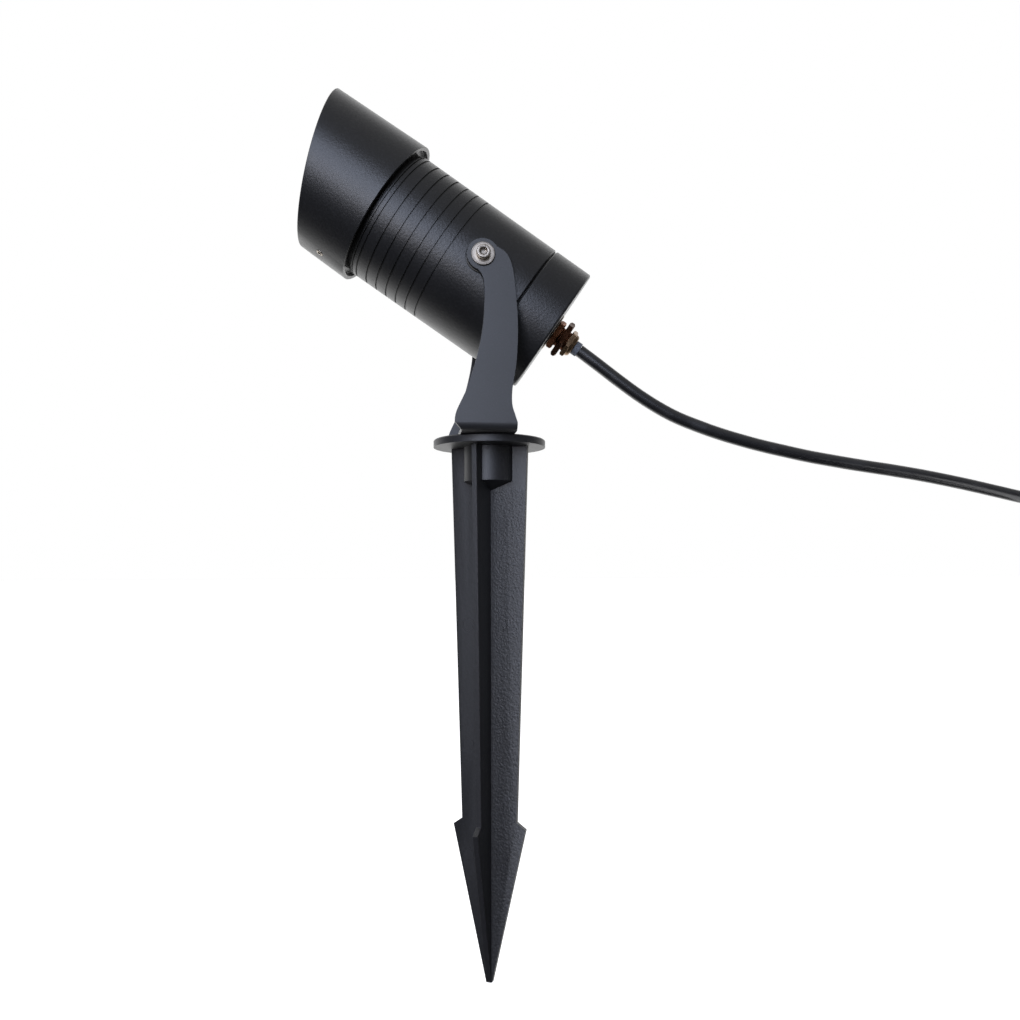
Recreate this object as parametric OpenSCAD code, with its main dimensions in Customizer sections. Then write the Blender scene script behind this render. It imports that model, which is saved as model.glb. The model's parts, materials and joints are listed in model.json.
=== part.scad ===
// Garden spike spotlight. A grooved lamp head with a slant-cut glare hood tilts in a
// U-bracket, the bracket turns on a ground stake, and a rubber lead leaves through a gland.
// Millimetres. +Z is up along the stake, the origin is the middle of the flange's
// underside, and the lamp shines towards -X.

/* [Lamp head] */
// Radius of the grooved housing and of the rear cap
housing_r = 36; // [35.5:0.1:36.2]
// Radius of the glare hood at its rear rim
hood_r = 40.8; // [40:0.1:41]
// How much the hood's radius shrinks towards its front, per millimetre
hood_taper = 0.027; // [0.01:0.001:0.03]
// Where the hood starts, measured forward from the tilt axis
hood_rear = 59; // [58.5:0.1:60]
// Where the hood ends along its long upper side
hood_top_front = 115.3; // [110:0.5:120]
// Where the hood ends along its short lower side
hood_bottom_front = 88; // [87.5:0.5:96]
// Number of grooves turned into the housing
groove_count = 7; // [5:1:7]
// Distance from one groove to the next
groove_pitch = 6.27; // [5.8:0.01:6.4]
// Width of a groove
groove_w = 1; // [0.8:0.1:1.4]
// Rear face of the rear cap, measured from the tilt axis
cap_rear = -50.2; // [-51:0.1:-50]

/* [Aim] */
// How far the beam points above the horizon
elevation = 34.3; // [34:0.1:34.6]
// How far the stake's fins are turned from the bracket
stake_turn = -26.8; // [-45:0.1:45]

/* [Bracket] */
// Height of the tilt axis above the flange's underside
pivot_z = 92.6; // [92:0.1:93]
// Distance of the tilt axis from the stake's axis, the lamp's side being negative
pivot_x = -6.7; // [-7:0.1:-6.4]
// Thickness of the bracket's sheet
sheet_t = 3; // [2.5:0.1:3]
// Distance between the outer faces of the two arms
bracket_w = 80; // [80:0.1:82]

/* [Stake] */
// Radius of the flange
flange_r = 30; // [28:0.5:34]
// Thickness of the flange
flange_t = 4; // [3.5:0.1:4]
// Radius of the round boss below the flange
boss_r = 13.7; // [12:0.1:15]
// Height of the boss
boss_h = 18.3; // [17:0.1:22]
// Reach of a fin just below the flange
fin_top_r = 21.8; // [20:0.1:24]
// Thickness of a fin
fin_t = 2.6; // [2:0.1:3]
// Depth of the stake's tip below the flange
tip_depth = 279; // [260:1:300]

/* [Lead] */
// Diameter of the rubber lead
lead_d = 7; // [7:0.1:7.1]
// Radius of the coil at the middle of its turns
coil_r = 40; // [39:0.5:40]

/* [Hidden] */
$fn = 96;
eps = 0.01;

// Fits: gap of a turning pin in its hole, and gap between faces that slide
pin_gap = 0.08;
face_gap = 0.05;

// Housing, forward of the tilt axis
housing_rear = -27.2;
housing_front = 57.4;
spigot_r = housing_r - 1;
spigot_front = 84;
chamber_r = 32.5;
web_rear = 12;
web_front = 20;
beam_bore_r = 31.5;
mouth_bore_r = 33.1;
ledge = 74;
groove_first = 53.8;
groove_d = 0.8;
lip_groove = 56.5;
spot_y = 35;
spot_r = 8.6;
pivot_boss_r = 5;
pivot_boss_y = 24;

// Rear cap
cap_front = -28;
cap_floor = 4;
cap_spigot_r = 32.4;
cap_spigot_front = -19.5;
cap_bore_r = 28.5;
seal_groove_r = 30.4;
seal_groove_rear = -25;
seal_groove_front = -22.4;
edge_chamfer = 0.5;

// Hood
hood_seat_r = spigot_r + 0.05;
hood_seat_rear = 62;
hood_seat_front = 84.4;
hood_wall = 2;
hood_lip_r = hood_r - 2.2;
hood_top_r = hood_r_at(hood_top_front);
hood_cut = atan2(hood_top_front - hood_bottom_front, hood_top_r + hood_r_at(hood_bottom_front));
hood_blank_end = hood_top_front + 4;
grub_z = 74;
grub_turn = 10;
grub_r = 2;
grub_stand = 0.3;
grub_socket_r = 1.15;
grub_rim_r = hood_r_at(grub_z);

// Front optics
glass_r = 33;
glass_t = 4;
gasket_t = 1.5;
flange_lip = 1.5;
ring_bore_r = 30;
ring_notch = 1.8;
reflector_neck_r = 8.2;
reflector_mouth_r = 29.3;
reflector_wall = 1.2;
led_board_r = 24;
board_t = 1.6;
cob_side = 19;
cob_t = 1;
phosphor_r = 7.3;
phosphor_t = 0.4;
led_wire_x = 17;
led_screw_at = 18;

// Driver
driver_r = 30;
spacer_h = 3;
driver_front = web_rear - spacer_h;
driver_rear = driver_front - board_t;
fixing_r = 24;

// Bracket sheet
arm_out = bracket_w / 2;
arm_in = arm_out - sheet_t;
bend_r = sheet_t + 1;
base_z = flange_t + face_gap;
bend_z = base_z + bend_r;
bolt_r = 3;
bolt_hole_r = bolt_r + pin_gap;

// Edges of the arm seen from the side, x and z, that a smooth curve runs through: the
// front edge from the bend up to the eye, the rear edge from the eye down to the bend
arm_front = -20.7;
base_front = -17;
base_back = 10.6;
arm_front_edge = [
    [arm_front, bend_z], [-19.8, 13.4], [-14.5, 25.2], [-9.7, 41], [-6.8, 56], [-5.9, 72],
    [-6.7, 81], [-9.5, 85.2]
];
arm_rear_edge = [
    [0, 97], [5.2, 93.3], [8.2, 86], [9.8, 73], [10.8, 58], [10.2, 40], [8.1, 25.6],
    [7.9, 17.2], [9.5, 11.4], [base_back, bend_z]
];
eye_r = 8.1;

// Stake bolt
bolt_flats = 10;
bolt_head_h = 4;
bolt_washer_r = 7;
bolt_washer_t = 1.2;
bolt_spring_r = 5.2;
bolt_spring_t = 1.4;
bolt_washer_z = base_z + sheet_t + face_gap;
bolt_head_z = bolt_washer_z + bolt_washer_t + bolt_spring_t;

// Tilt screws, outwards from an arm
screw_r = 2;
screw_tip = 27;
screw_head_r = 3.5;
screw_head_h = 2.8;
socket_flats = 3;
socket_depth = 2.2;
pivot_washer_r = 6;
pivot_washer_t = 1;
pivot_spring_r = 3.6;
pivot_spring_t = 1;
friction_washer_r = 8;
pivot_washer_y = arm_out + face_gap;
screw_seat_y = pivot_washer_y + pivot_washer_t + pivot_spring_t;

// Stake: reach of a fin and depth, from the flange down to the tip
fin_notch_r = 15.3;
fin_notch_depth = 196.4;
barb_r = 20.2;
barb_depth = 199.8;
tip_r = 1.6;
boss_cone_h = 4.6;
insert_r = 5.2;
insert_depth = 12;
bolt_depth = 15;

// Gland, along the lamp's axis behind the rear cap
gland_thread_r = 6;
gland_bore_r = lead_d / 2 + 0.1;
gland_washer_r = 10.6;
gland_washer_t = 0.7;
gland_body_rear = cap_rear - gland_washer_t - 3.4;
jam_front = gland_body_rear - 1.1;
jam_t = 3.2;
jam_flats = 19;
cap_nut_front = jam_front - jam_t - 1;
cap_nut_t = 2.8;
cap_nut_rear = cap_nut_front - cap_nut_t - 2;
sleeve_r = lead_d / 2 + 0.45;
sleeve_rear = -67.8;

// Lead: the surface that the free lead lies on, and the route's points from the gland
// to the coil and from the coil to the plug
ground_z = -34;
lead_route = [
    [49.4, 0, 54.4], [60, 0, 46.6], [71, 0, 38.4], [82, 0, 30.6], [93, 0, 23.8],
    [104, 0, 18.2], [116, 0, 13.6], [128, 0, 9.6], [140, 0, 6.2], [152, 0, 3.2],
    [166, 0, 0.2], [180, 0, -2.6], [196, 0, -5.2], [212, 0, -7.6], [228, 0, -9.8],
    [244, 0, -12.2], [260, 0, -15], [276, 0, -18.1], [292, 0, -21.5], [306, 0, -24.5],
    [320, 0, -27.2], [331, 0, -29.2], [342, 0, -30.2], [354, 0, -30.5]
];
coil_x = 354;
coil_y = -47;
turn_step = lead_d;
coil_half_w = turn_step + lead_d / 2;
coil_h = 2 * lead_d;
tail_route = [[354, -94, -23.5], [342, -94, -23.2], [329, -94, -23]];

// Plug: a flat moulded body with two round pins, pointing towards -X
plug_y = -94;
plug_z = -23;
plug_rear = 329;
relief_l = 26;
plug_l = 32;
plug_w = 35;
plug_h = 22;
pin_r = 2.4;
pin_root_r = 1.9;
pin_l = 19;
pin_tip = 1.2;
pin_root = 4;
pin_spacing = 19;

// ---- shared shapes ----

// Puts the lamp head's own frame in place: its +Z runs along the beam, its +X is the
// head's upper side
module in_head() {
    translate([pivot_x, 0, pivot_z]) rotate([0, elevation - 90, 0]) children();
}

// A round part turned about the beam axis between two stations
module turned(r, from, to) {
    translate([0, 0, from]) cylinder(r = r, h = to - from);
}

// A flat ring
module ring(outer, inner, from, to) {
    difference() {
        turned(outer, from, to);
        turned(inner, from - 1, to + 1);
    }
}

// A hexagonal prism given its size across flats
module hexagon(flats, from, to) {
    translate([0, 0, from]) cylinder(r = flats / sqrt(3), h = to - from, $fn = 6);
}

// The same thing on both sides of the head, with +Z turned outwards along Y
module both_sides() {
    for (side = [-1, 1]) rotate([-90 * side, 0, 0]) children();
}

// A rectangle with round corners, about its middle
module rounded_rect(w, h, r) {
    square([w - 2 * r, h], center = true);
    square([w, h - 2 * r], center = true);
    for (x = [-1, 1], y = [-1, 1]) translate([x * (w / 2 - r), y * (h / 2 - r)]) circle(r = r, $fn = 32);
}

function unit(v) = v / norm(v);

// A smooth curve through points, each span cut into a number of steps
function curve(p, steps = 5) = [
    for (i = [0 : len(p) - 2], k = [0 : steps - 1])
        let (
            t = k / steps, a = p[max(i - 1, 0)], b = p[i], c = p[i + 1],
            d = p[min(i + 2, len(p) - 1)]
        )
        b + t * (c - a) / 2 + t * t * (2 * a - 5 * b + 4 * c - d) / 2
            + t * t * t * (3 * b - a - 3 * c + d) / 2,
    p[len(p) - 1]
];

// Direction of a route at one of its points
function heading(p, i) = unit(p[min(i + 1, len(p) - 1)] - p[max(i - 1, 0)]);

// Points of one ring of a tube, square to the heading
function tube_ring(c, along, side, r, sides) = [
    for (k = [0 : sides - 1])
        c + r * (cos(360 * k / sides) * side + sin(360 * k / sides) * cross(along, side))
];

// A tube swept along a route that never runs along `across`
module tube(route, r, sides = 10, across = [0, 1, 0]) {
    last = len(route) - 1;
    points = [
        for (i = [0 : last])
            let (along = heading(route, i), side = unit(cross(across, along)))
            each tube_ring(route[i], along, side, r, sides)
    ];
    walls = [
        for (i = [0 : last - 1], k = [0 : sides - 1])
            let (n = (k + 1) % sides)
            [i * sides + k, (i + 1) * sides + k, (i + 1) * sides + n, i * sides + n]
    ];
    start = [for (k = [0 : sides - 1]) k];
    end = [for (k = [sides - 1 : -1 : 0]) last * sides + k];
    polyhedron(points = points, faces = concat([start, end], walls), convexity = 6);
}

// ---- stake ----

module fin() {
    rotate([90, 0, 0]) linear_extrude(fin_t, center = true) polygon([
        [0, eps], [fin_top_r, eps], [fin_notch_r, -fin_notch_depth], [barb_r, -barb_depth],
        [tip_r, -tip_depth], [0, -tip_depth]
    ]);
}

module ground_stake() {
    color("#26272a") difference() {
        union() {
            cylinder(r = flange_r, h = flange_t - 0.6);
            translate([0, 0, flange_t - 0.6]) cylinder(r1 = flange_r, r2 = flange_r - 0.6, h = 0.6);
            translate([0, 0, -boss_h]) cylinder(r = boss_r, h = boss_h + eps);
            translate([0, 0, -boss_h - boss_cone_h]) cylinder(r1 = 2, r2 = boss_r, h = boss_cone_h);
            for (i = [0 : 3]) rotate(stake_turn + 90 * i) fin();
        }
        translate([0, 0, -insert_depth]) cylinder(r = insert_r, h = insert_depth + flange_t + 1);
        translate([0, 0, -bolt_depth - 1]) cylinder(r = bolt_r + 0.3, h = bolt_depth + 2);
    }
}

module stake_insert() {
    color("#b08d4a") ring(insert_r, bolt_r, -insert_depth, flange_t - 0.2);
}

module stake_bolt() {
    head_top = bolt_head_z + bolt_head_h;
    color("#c9cbce") union() {
        turned(bolt_r, -bolt_depth, bolt_head_z + eps);
        difference() {
            hexagon(bolt_flats, bolt_head_z, head_top);
            difference() {
                turned(bolt_flats, head_top - 1, head_top + 1);
                translate([0, 0, head_top - 1]) cylinder(r1 = 5.8, r2 = 4.9, h = 1 + eps);
            }
        }
    }
}

module bolt_washer() {
    color("#c9cbce") ring(bolt_washer_r, bolt_r + 0.1, bolt_washer_z, bolt_washer_z + bolt_washer_t);
}

// A spring washer with its slanted cut, between two stations
module split_ring(outer, inner, from, to) {
    difference() {
        ring(outer, inner, from, to);
        translate([outer, 0, (from + to) / 2]) rotate([25, 0, 0])
            cube([2 * (outer - inner) + 1, (to - from) / 2, 3 * (to - from)], center = true);
    }
}

module bolt_spring_washer() {
    color("#c9cbce")
        split_ring(bolt_spring_r, bolt_r + 0.1, bolt_washer_z + bolt_washer_t, bolt_head_z);
}

// ---- bracket ----

module arm() {
    rotate([90, 0, 0]) linear_extrude(sheet_t) difference() {
        union() {
            translate([pivot_x, pivot_z]) circle(r = eye_r);
            polygon(concat(curve(arm_front_edge), [[pivot_x, pivot_z]], curve(arm_rear_edge)));
        }
        translate([pivot_x, pivot_z]) circle(r = screw_r + pin_gap);
    }
}

// The rounded bend between the base and one arm, narrowing towards the base
module bend() {
    y = arm_out - bend_r;
    intersection() {
        translate([0, y, bend_z]) rotate([0, 90, 0]) difference() {
            cylinder(r = bend_r, h = 80, center = true);
            cylinder(r = bend_r - sheet_t, h = 81, center = true);
        }
        translate([-40, y, base_z - 1]) cube([80, bend_r + 1, bend_r + 1]);
        translate([0, arm_out + 1, 0]) rotate([90, 0, 0]) linear_extrude(bend_r + 2) polygon([
            [arm_front, bend_z], [base_front, base_z - eps], [base_back, base_z - eps],
            [base_back, bend_z]
        ]);
    }
}

module yoke_bracket() {
    color("#3c4048") difference() {
        union() {
            translate([0, -arm_in, 0]) arm();
            translate([0, arm_out, 0]) arm();
            bend();
            mirror([0, 1, 0]) bend();
            translate([base_front, bend_r - arm_out - eps, base_z])
                cube([base_back - base_front, 2 * (arm_out - bend_r + eps), sheet_t]);
        }
        translate([0, 0, base_z - 1]) cylinder(r = bolt_hole_r, h = sheet_t + 2);
    }
}

// ---- tilt pivot, one set on each side ----

module pivot_screws() {
    head_top = screw_seat_y + screw_head_h;
    color("#d4d6d8") in_head() both_sides() difference() {
        union() {
            turned(screw_r, screw_tip, screw_seat_y + eps);
            turned(screw_head_r, screw_seat_y, head_top - edge_chamfer);
            translate([0, 0, head_top - edge_chamfer])
                cylinder(r1 = screw_head_r, r2 = screw_head_r - edge_chamfer, h = edge_chamfer);
        }
        hexagon(socket_flats, head_top - socket_depth, head_top + 1);
    }
}

module pivot_washers() {
    color("#d4d6d8") in_head() both_sides()
        ring(pivot_washer_r, screw_r + 0.1, pivot_washer_y, pivot_washer_y + pivot_washer_t);
}

module pivot_spring_washers() {
    color("#c9cbce") in_head() both_sides()
        split_ring(pivot_spring_r, screw_r + 0.1, pivot_washer_y + pivot_washer_t, screw_seat_y);
}

module friction_washers() {
    color("#e8e6df") in_head() both_sides()
        ring(friction_washer_r, screw_r + 0.1, spot_y, arm_in - face_gap);
}

// ---- lamp housing and rear cap ----

module housing_section() {
    difference() {
        union() {
            translate([0, housing_rear]) square([housing_r, housing_front - housing_rear]);
            square([spigot_r, spigot_front]);
        }
        translate([0, housing_rear - 1]) square([chamber_r, web_rear - housing_rear + 1]);
        translate([0, web_front]) square([beam_bore_r, ledge - web_front + eps]);
        translate([0, ledge]) square([mouth_bore_r, spigot_front - ledge + 1]);
        for (i = [0 : groove_count - 1])
            translate([housing_r - groove_d, groove_first - i * groove_pitch - groove_w / 2])
                square([groove_d + 1, groove_w]);
        translate([housing_r - groove_d, lip_groove - 0.3]) square([groove_d + 1, 0.6]);
        polygon([
            [housing_r - edge_chamfer, housing_rear - eps], [housing_r + 1, housing_rear - eps],
            [housing_r + 1, housing_rear + edge_chamfer + 1]
        ]);
    }
}

module lamp_housing() {
    color("#2b2c2f") in_head() difference() {
        union() {
            rotate_extrude() housing_section();
            both_sides() turned(pivot_boss_r, pivot_boss_y, spot_y);
        }
        both_sides() turned(spot_r, spot_y, housing_r + 1);
        both_sides() turned(screw_r, pivot_boss_y + 2, housing_r + 1);
        translate([led_wire_x, 0, web_rear - 1]) cylinder(r = 3, h = web_front - web_rear + 2);
    }
}

module rear_cap() {
    color("#2b2c2f") in_head() rotate_extrude() difference() {
        union() {
            polygon([
                [gland_thread_r, cap_rear], [housing_r - 1.2, cap_rear], [housing_r - 0.35, cap_rear + 0.35],
                [housing_r, cap_rear + 1.2], [housing_r, cap_front - edge_chamfer],
                [housing_r - edge_chamfer, cap_front], [gland_thread_r, cap_front]
            ]);
            translate([gland_thread_r, cap_front - eps])
                square([cap_spigot_r - gland_thread_r, cap_spigot_front - cap_front]);
        }
        translate([0, cap_rear + cap_floor]) square([cap_bore_r, cap_spigot_front - cap_rear]);
        translate([seal_groove_r, seal_groove_rear])
            square([cap_spigot_r, seal_groove_front - seal_groove_rear]);
    }
}

module rear_cap_seal() {
    thick = (chamber_r - seal_groove_r) / 2;
    color("#b3392d") in_head() translate([0, 0, (seal_groove_rear + seal_groove_front) / 2])
        rotate_extrude() translate([seal_groove_r + thick, 0]) circle(r = thick - eps, $fn = 32);
}

// ---- hood ----

// The hood's outer radius at a distance in front of the tilt axis
function hood_r_at(z) = hood_r - hood_taper * (z - hood_rear);

module anti_glare_hood() {
    color("#2b2c2f") in_head() difference() {
        rotate_extrude() polygon([
            [hood_lip_r, hood_rear], [hood_r, hood_rear],
            [hood_r_at(hood_blank_end), hood_blank_end],
            [hood_r_at(hood_blank_end) - hood_wall, hood_blank_end],
            [hood_r_at(hood_seat_front) - hood_wall, hood_seat_front],
            [hood_seat_r, hood_seat_front], [hood_seat_r, hood_seat_rear], [hood_lip_r, hood_seat_rear]
        ]);
        translate([hood_top_r, 0, hood_top_front]) rotate([0, -hood_cut, 0])
            translate([-3 * hood_r, -hood_r - 5, 0]) cube([4 * hood_r, 2 * hood_r + 10, 3 * hood_r]);
        rotate([0, 0, grub_turn]) translate([-grub_rim_r - 1, 0, grub_z]) rotate([0, 90, 0])
            cylinder(r = grub_r, h = grub_rim_r - spigot_r + 3, $fn = 48);
    }
}

module hood_grub_screw() {
    color("#c9cbce") in_head() rotate([0, 0, grub_turn])
    translate([-grub_rim_r - grub_stand, 0, grub_z]) rotate([0, 90, 0]) difference() {
        cylinder(r = grub_r, h = grub_rim_r + grub_stand - spigot_r - 0.1, $fn = 48);
        translate([0, 0, -1]) cylinder(r = grub_socket_r, h = 3, $fn = 6);
    }
}

module retaining_ring() {
    color("#2b2c2f") in_head() difference() {
        ring(glass_r, ring_bore_r, ledge + flange_lip + gasket_t + glass_t, spigot_front);
        for (a = [0, 180]) rotate(a) translate([ring_bore_r, 0, spigot_front])
            cube([2 * ring_notch, 2.4, 2.4], center = true);
    }
}

module front_glass() {
    color("#dfe8ea") in_head()
        turned(glass_r, ledge + flange_lip + gasket_t, ledge + flange_lip + gasket_t + glass_t);
}

module glass_gasket() {
    color("#d8d8d4") in_head() ring(glass_r, ring_bore_r, ledge + flange_lip, ledge + flange_lip + gasket_t);
}

// ---- light source ----

cob_front = web_front + board_t + cob_t;

// Radius of the reflector's inside, t running from 0 at its neck to 1 at its mouth
function bowl_r(t) = sqrt(pow(reflector_neck_r, 2) + (pow(reflector_mouth_r, 2) - pow(reflector_neck_r, 2)) * t);
function bowl_z(t) = cob_front + (ledge + flange_lip - cob_front) * t;

module reflector() {
    steps = 14;
    back = [for (i = [steps : -1 : 0]) if (bowl_z(i / steps) < ledge) i / steps];
    color("#e4e7ea") in_head() rotate_extrude() polygon(concat(
        [for (i = [0 : steps]) [bowl_r(i / steps), bowl_z(i / steps)]],
        [[glass_r, ledge + flange_lip], [glass_r, ledge], [reflector_mouth_r + reflector_wall, ledge]],
        [for (t = back) [bowl_r(t) + reflector_wall, bowl_z(t)]]
    ));
}

module led_board() {
    color("#d9dcdf") in_head() difference() {
        turned(led_board_r, web_front, web_front + board_t);
        for (a = [45, 225]) rotate(a) translate([led_screw_at, 0, web_front - 1]) cylinder(r = 1.5, h = 4);
        translate([led_wire_x, 0, web_front - 1]) cylinder(r = 3, h = 4);
    }
}

module cob_base() {
    color("#f0eee6") in_head() translate([-cob_side / 2, -cob_side / 2, web_front + board_t])
        cube([cob_side, cob_side, cob_t]);
}

module cob_phosphor() {
    color("#e8c52e") in_head() turned(phosphor_r, cob_front, cob_front + phosphor_t);
}

module led_screws() {
    color("#c9cbce") in_head() for (a = [45, 225]) rotate(a) translate([led_screw_at, 0, 0]) difference() {
        union() {
            turned(1.5, web_front, web_front + board_t + eps);
            turned(2.8, web_front + board_t, web_front + board_t + 1.8);
        }
        translate([0, 0, web_front + board_t + 1.6]) cube([0.8, 4, 1.2], center = true);
    }
}

module led_wires() {
    for (side = [-1, 1]) color(side < 0 ? "#b32020" : "#1c1c1c") in_head() tube([
        [led_wire_x, side * 1.3, driver_front + 0.2], [led_wire_x, side * 1.3, web_rear + 4],
        [led_wire_x, side * 1.5, web_front + 3.4], [led_wire_x - 1.6, side * 2, web_front + 4.6],
        [led_wire_x - 3.4, side * 2.6, web_front + 3.9], [led_wire_x - 4.6, side * 3, web_front + board_t + 0.3]
    ], 0.8, 8);
}

// ---- driver ----

module driver_board() {
    color("#1f6b3a") in_head() difference() {
        turned(driver_r, driver_rear, driver_front);
        for (i = [0 : 2]) rotate(120 * i) translate([fixing_r, 0, driver_rear - 1]) cylinder(r = 1.25, h = 4);
    }
}

module driver_spacers() {
    color("#c8a558") in_head() for (i = [0 : 2]) rotate(120 * i)
        translate([fixing_r, 0, 0]) ring(2.4, 1.25, driver_front, web_rear);
}

module driver_screws() {
    color("#c9cbce") in_head() for (i = [0 : 2]) rotate(120 * i) translate([fixing_r, 0, 0]) {
        turned(1.25, driver_rear - eps, web_rear);
        turned(2.3, driver_rear - 1.6, driver_rear);
    }
}

module driver_transformer() {
    color("#e0c24a") in_head() {
        translate([2, -10, driver_rear - 3]) cube([18, 20, 3]);
        translate([4, -7, driver_rear - 13]) cube([14, 14, 10]);
        translate([2, -10, driver_rear - 16]) cube([18, 20, 3]);
    }
}

module driver_capacitors() {
    color("#23252b") in_head() {
        translate([-3, 17, 0]) turned(5, driver_rear - 20, driver_rear);
        translate([-3, -17, 0]) turned(4, driver_rear - 12, driver_rear);
    }
}

module driver_chips() {
    color("#1a1b1e") in_head() {
        translate([-8, -5, driver_rear - 2]) cube([6, 5, 2]);
        translate([-8, 3, driver_rear - 2]) cube([5, 4, 2]);
    }
}

module terminal_block() {
    color("#3f8f4f") in_head() difference() {
        translate([-22, -8, driver_rear - 10]) cube([11, 16, 10]);
        for (y = [-3.6, 3.6]) translate([-16.5, y, driver_rear - 11]) cylinder(r = 1.6, h = 7, $fn = 32);
    }
}

module supply_wires() {
    for (side = [-1, 1]) color(side < 0 ? "#6b3d22" : "#2b5fa8") in_head() tube([
        [0, side * 1.5, -37.8], [0, side * 1.6, -33], [-2, side * 1.9, -27.5], [-6.5, side * 2.5, -21.5],
        [-11.5, side * 3.1, -16], [-15, side * 3.5, -10.5], [-16.5, side * 3.6, -5],
        [-16.5, side * 3.6, driver_rear - 7]
    ], 1.2, 8);
}

// ---- gland ----

module inner_lead() {
    color("#1b1c1e") in_head() turned(lead_d / 2, sleeve_rear + 0.3, -38);
}

module gland_washer() {
    color("#d4d6d8") in_head() ring(gland_washer_r, gland_thread_r, cap_rear - gland_washer_t, cap_rear);
}

module gland_body() {
    color("#a06a3c") in_head() difference() {
        union() {
            hexagon(15, gland_body_rear, cap_rear - gland_washer_t);
            turned(gland_thread_r, cap_rear - gland_washer_t - eps, cap_rear + cap_floor + 4.5);
            turned(5.6, cap_nut_front - 1.5, gland_body_rear + eps);
        }
        turned(gland_bore_r, cap_nut_rear - 1, cap_rear + cap_floor + 6);
    }
}

module gland_inner_nut() {
    color("#b08d4a") in_head() difference() {
        hexagon(16, cap_rear + cap_floor, cap_rear + cap_floor + 3.2);
        turned(gland_thread_r, cap_rear, 0);
    }
}

module gland_jam_nut() {
    color("#a06a3c") in_head() difference() {
        hexagon(jam_flats, jam_front - jam_t, jam_front);
        turned(5.6, jam_front - jam_t - 1, jam_front + 1);
    }
}

module gland_cap_nut() {
    color("#a87a45") in_head() difference() {
        union() {
            hexagon(14, cap_nut_front - cap_nut_t, cap_nut_front);
            translate([0, 0, cap_nut_rear]) cylinder(r1 = 4.7, r2 = 6.6, h = 2 + eps);
        }
        turned(5.6, cap_nut_front - 1.5, cap_nut_front + 1);
        turned(sleeve_r, cap_nut_rear - 1, cap_nut_front);
    }
}

module gland_sleeve() {
    color("#7d828b") in_head() ring(sleeve_r, gland_bore_r, sleeve_rear, cap_nut_front - 1.5);
}

// ---- lead and plug ----

module cord_lead() {
    color("#1b1c1e") tube(lead_route, lead_d / 2);
}

module cord_coil() {
    color("#1b1c1e") translate([coil_x, coil_y, ground_z + coil_h / 2]) rotate_extrude()
        translate([coil_r, 0]) rounded_rect(2 * coil_half_w, coil_h, lead_d / 2 - 0.2);
}

module cord_tie() {
    color("#2a2a2d") translate([coil_x + coil_r, coil_y, ground_z + coil_h / 2]) rotate([90, 0, 0])
        linear_extrude(9, center = true) difference() {
            rounded_rect(2 * coil_half_w + 1.6, coil_h, 3);
            rounded_rect(2 * coil_half_w - 0.6, coil_h - 2, 2.6);
        }
}

module cord_tail() {
    color("#1b1c1e") tube(tail_route, lead_d / 2);
}

module plug_body() {
    color("#1d1e20") translate([plug_rear - relief_l, plug_y, plug_z]) rotate([0, -90, 0]) difference() {
        union() {
            linear_extrude(plug_l) rounded_rect(plug_h, plug_w, 7);
            rotate([180, 0, 0]) cylinder(r1 = 6.6, r2 = 4.7, h = relief_l);
        }
        for (y = [-1, 1]) translate([0, y * pin_spacing / 2, plug_l - pin_root])
            cylinder(r = pin_root_r, h = pin_root + 1);
    }
}

module plug_pins() {
    color("#c8cacc") translate([plug_rear - relief_l, plug_y, plug_z]) rotate([0, -90, 0])
        for (y = [-1, 1]) translate([0, y * pin_spacing / 2, plug_l]) {
            translate([0, 0, -pin_root]) cylinder(r = pin_root_r, h = pin_root + eps);
            cylinder(r = pin_r, h = pin_l - pin_tip);
            translate([0, 0, pin_l - pin_tip]) cylinder(r1 = pin_r, r2 = pin_r - 1, h = pin_tip);
        }
}

ground_stake();
stake_insert();
stake_bolt();
bolt_washer();
bolt_spring_washer();
yoke_bracket();
pivot_screws();
pivot_washers();
pivot_spring_washers();
friction_washers();
lamp_housing();
rear_cap();
rear_cap_seal();
anti_glare_hood();
hood_grub_screw();
retaining_ring();
front_glass();
glass_gasket();
reflector();
cob_base();
cob_phosphor();
led_board();
led_screws();
led_wires();
driver_board();
driver_transformer();
driver_capacitors();
driver_chips();
driver_spacers();
driver_screws();
terminal_block();
supply_wires();
inner_lead();
gland_washer();
gland_body();
gland_inner_nut();
gland_jam_nut();
gland_cap_nut();
gland_sleeve();
cord_lead();
cord_coil();
cord_tie();
cord_tail();
plug_body();
plug_pins();
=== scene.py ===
"""Garden spike spotlight, finished around its CAD frame.

The add-on models the visible pieces with Blender's own tools, gives every piece a
procedural finish and sets up a plain studio. Profiles are in millimetres, as on a
drawing, and MM turns them into Blender's metres.
"""

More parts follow.
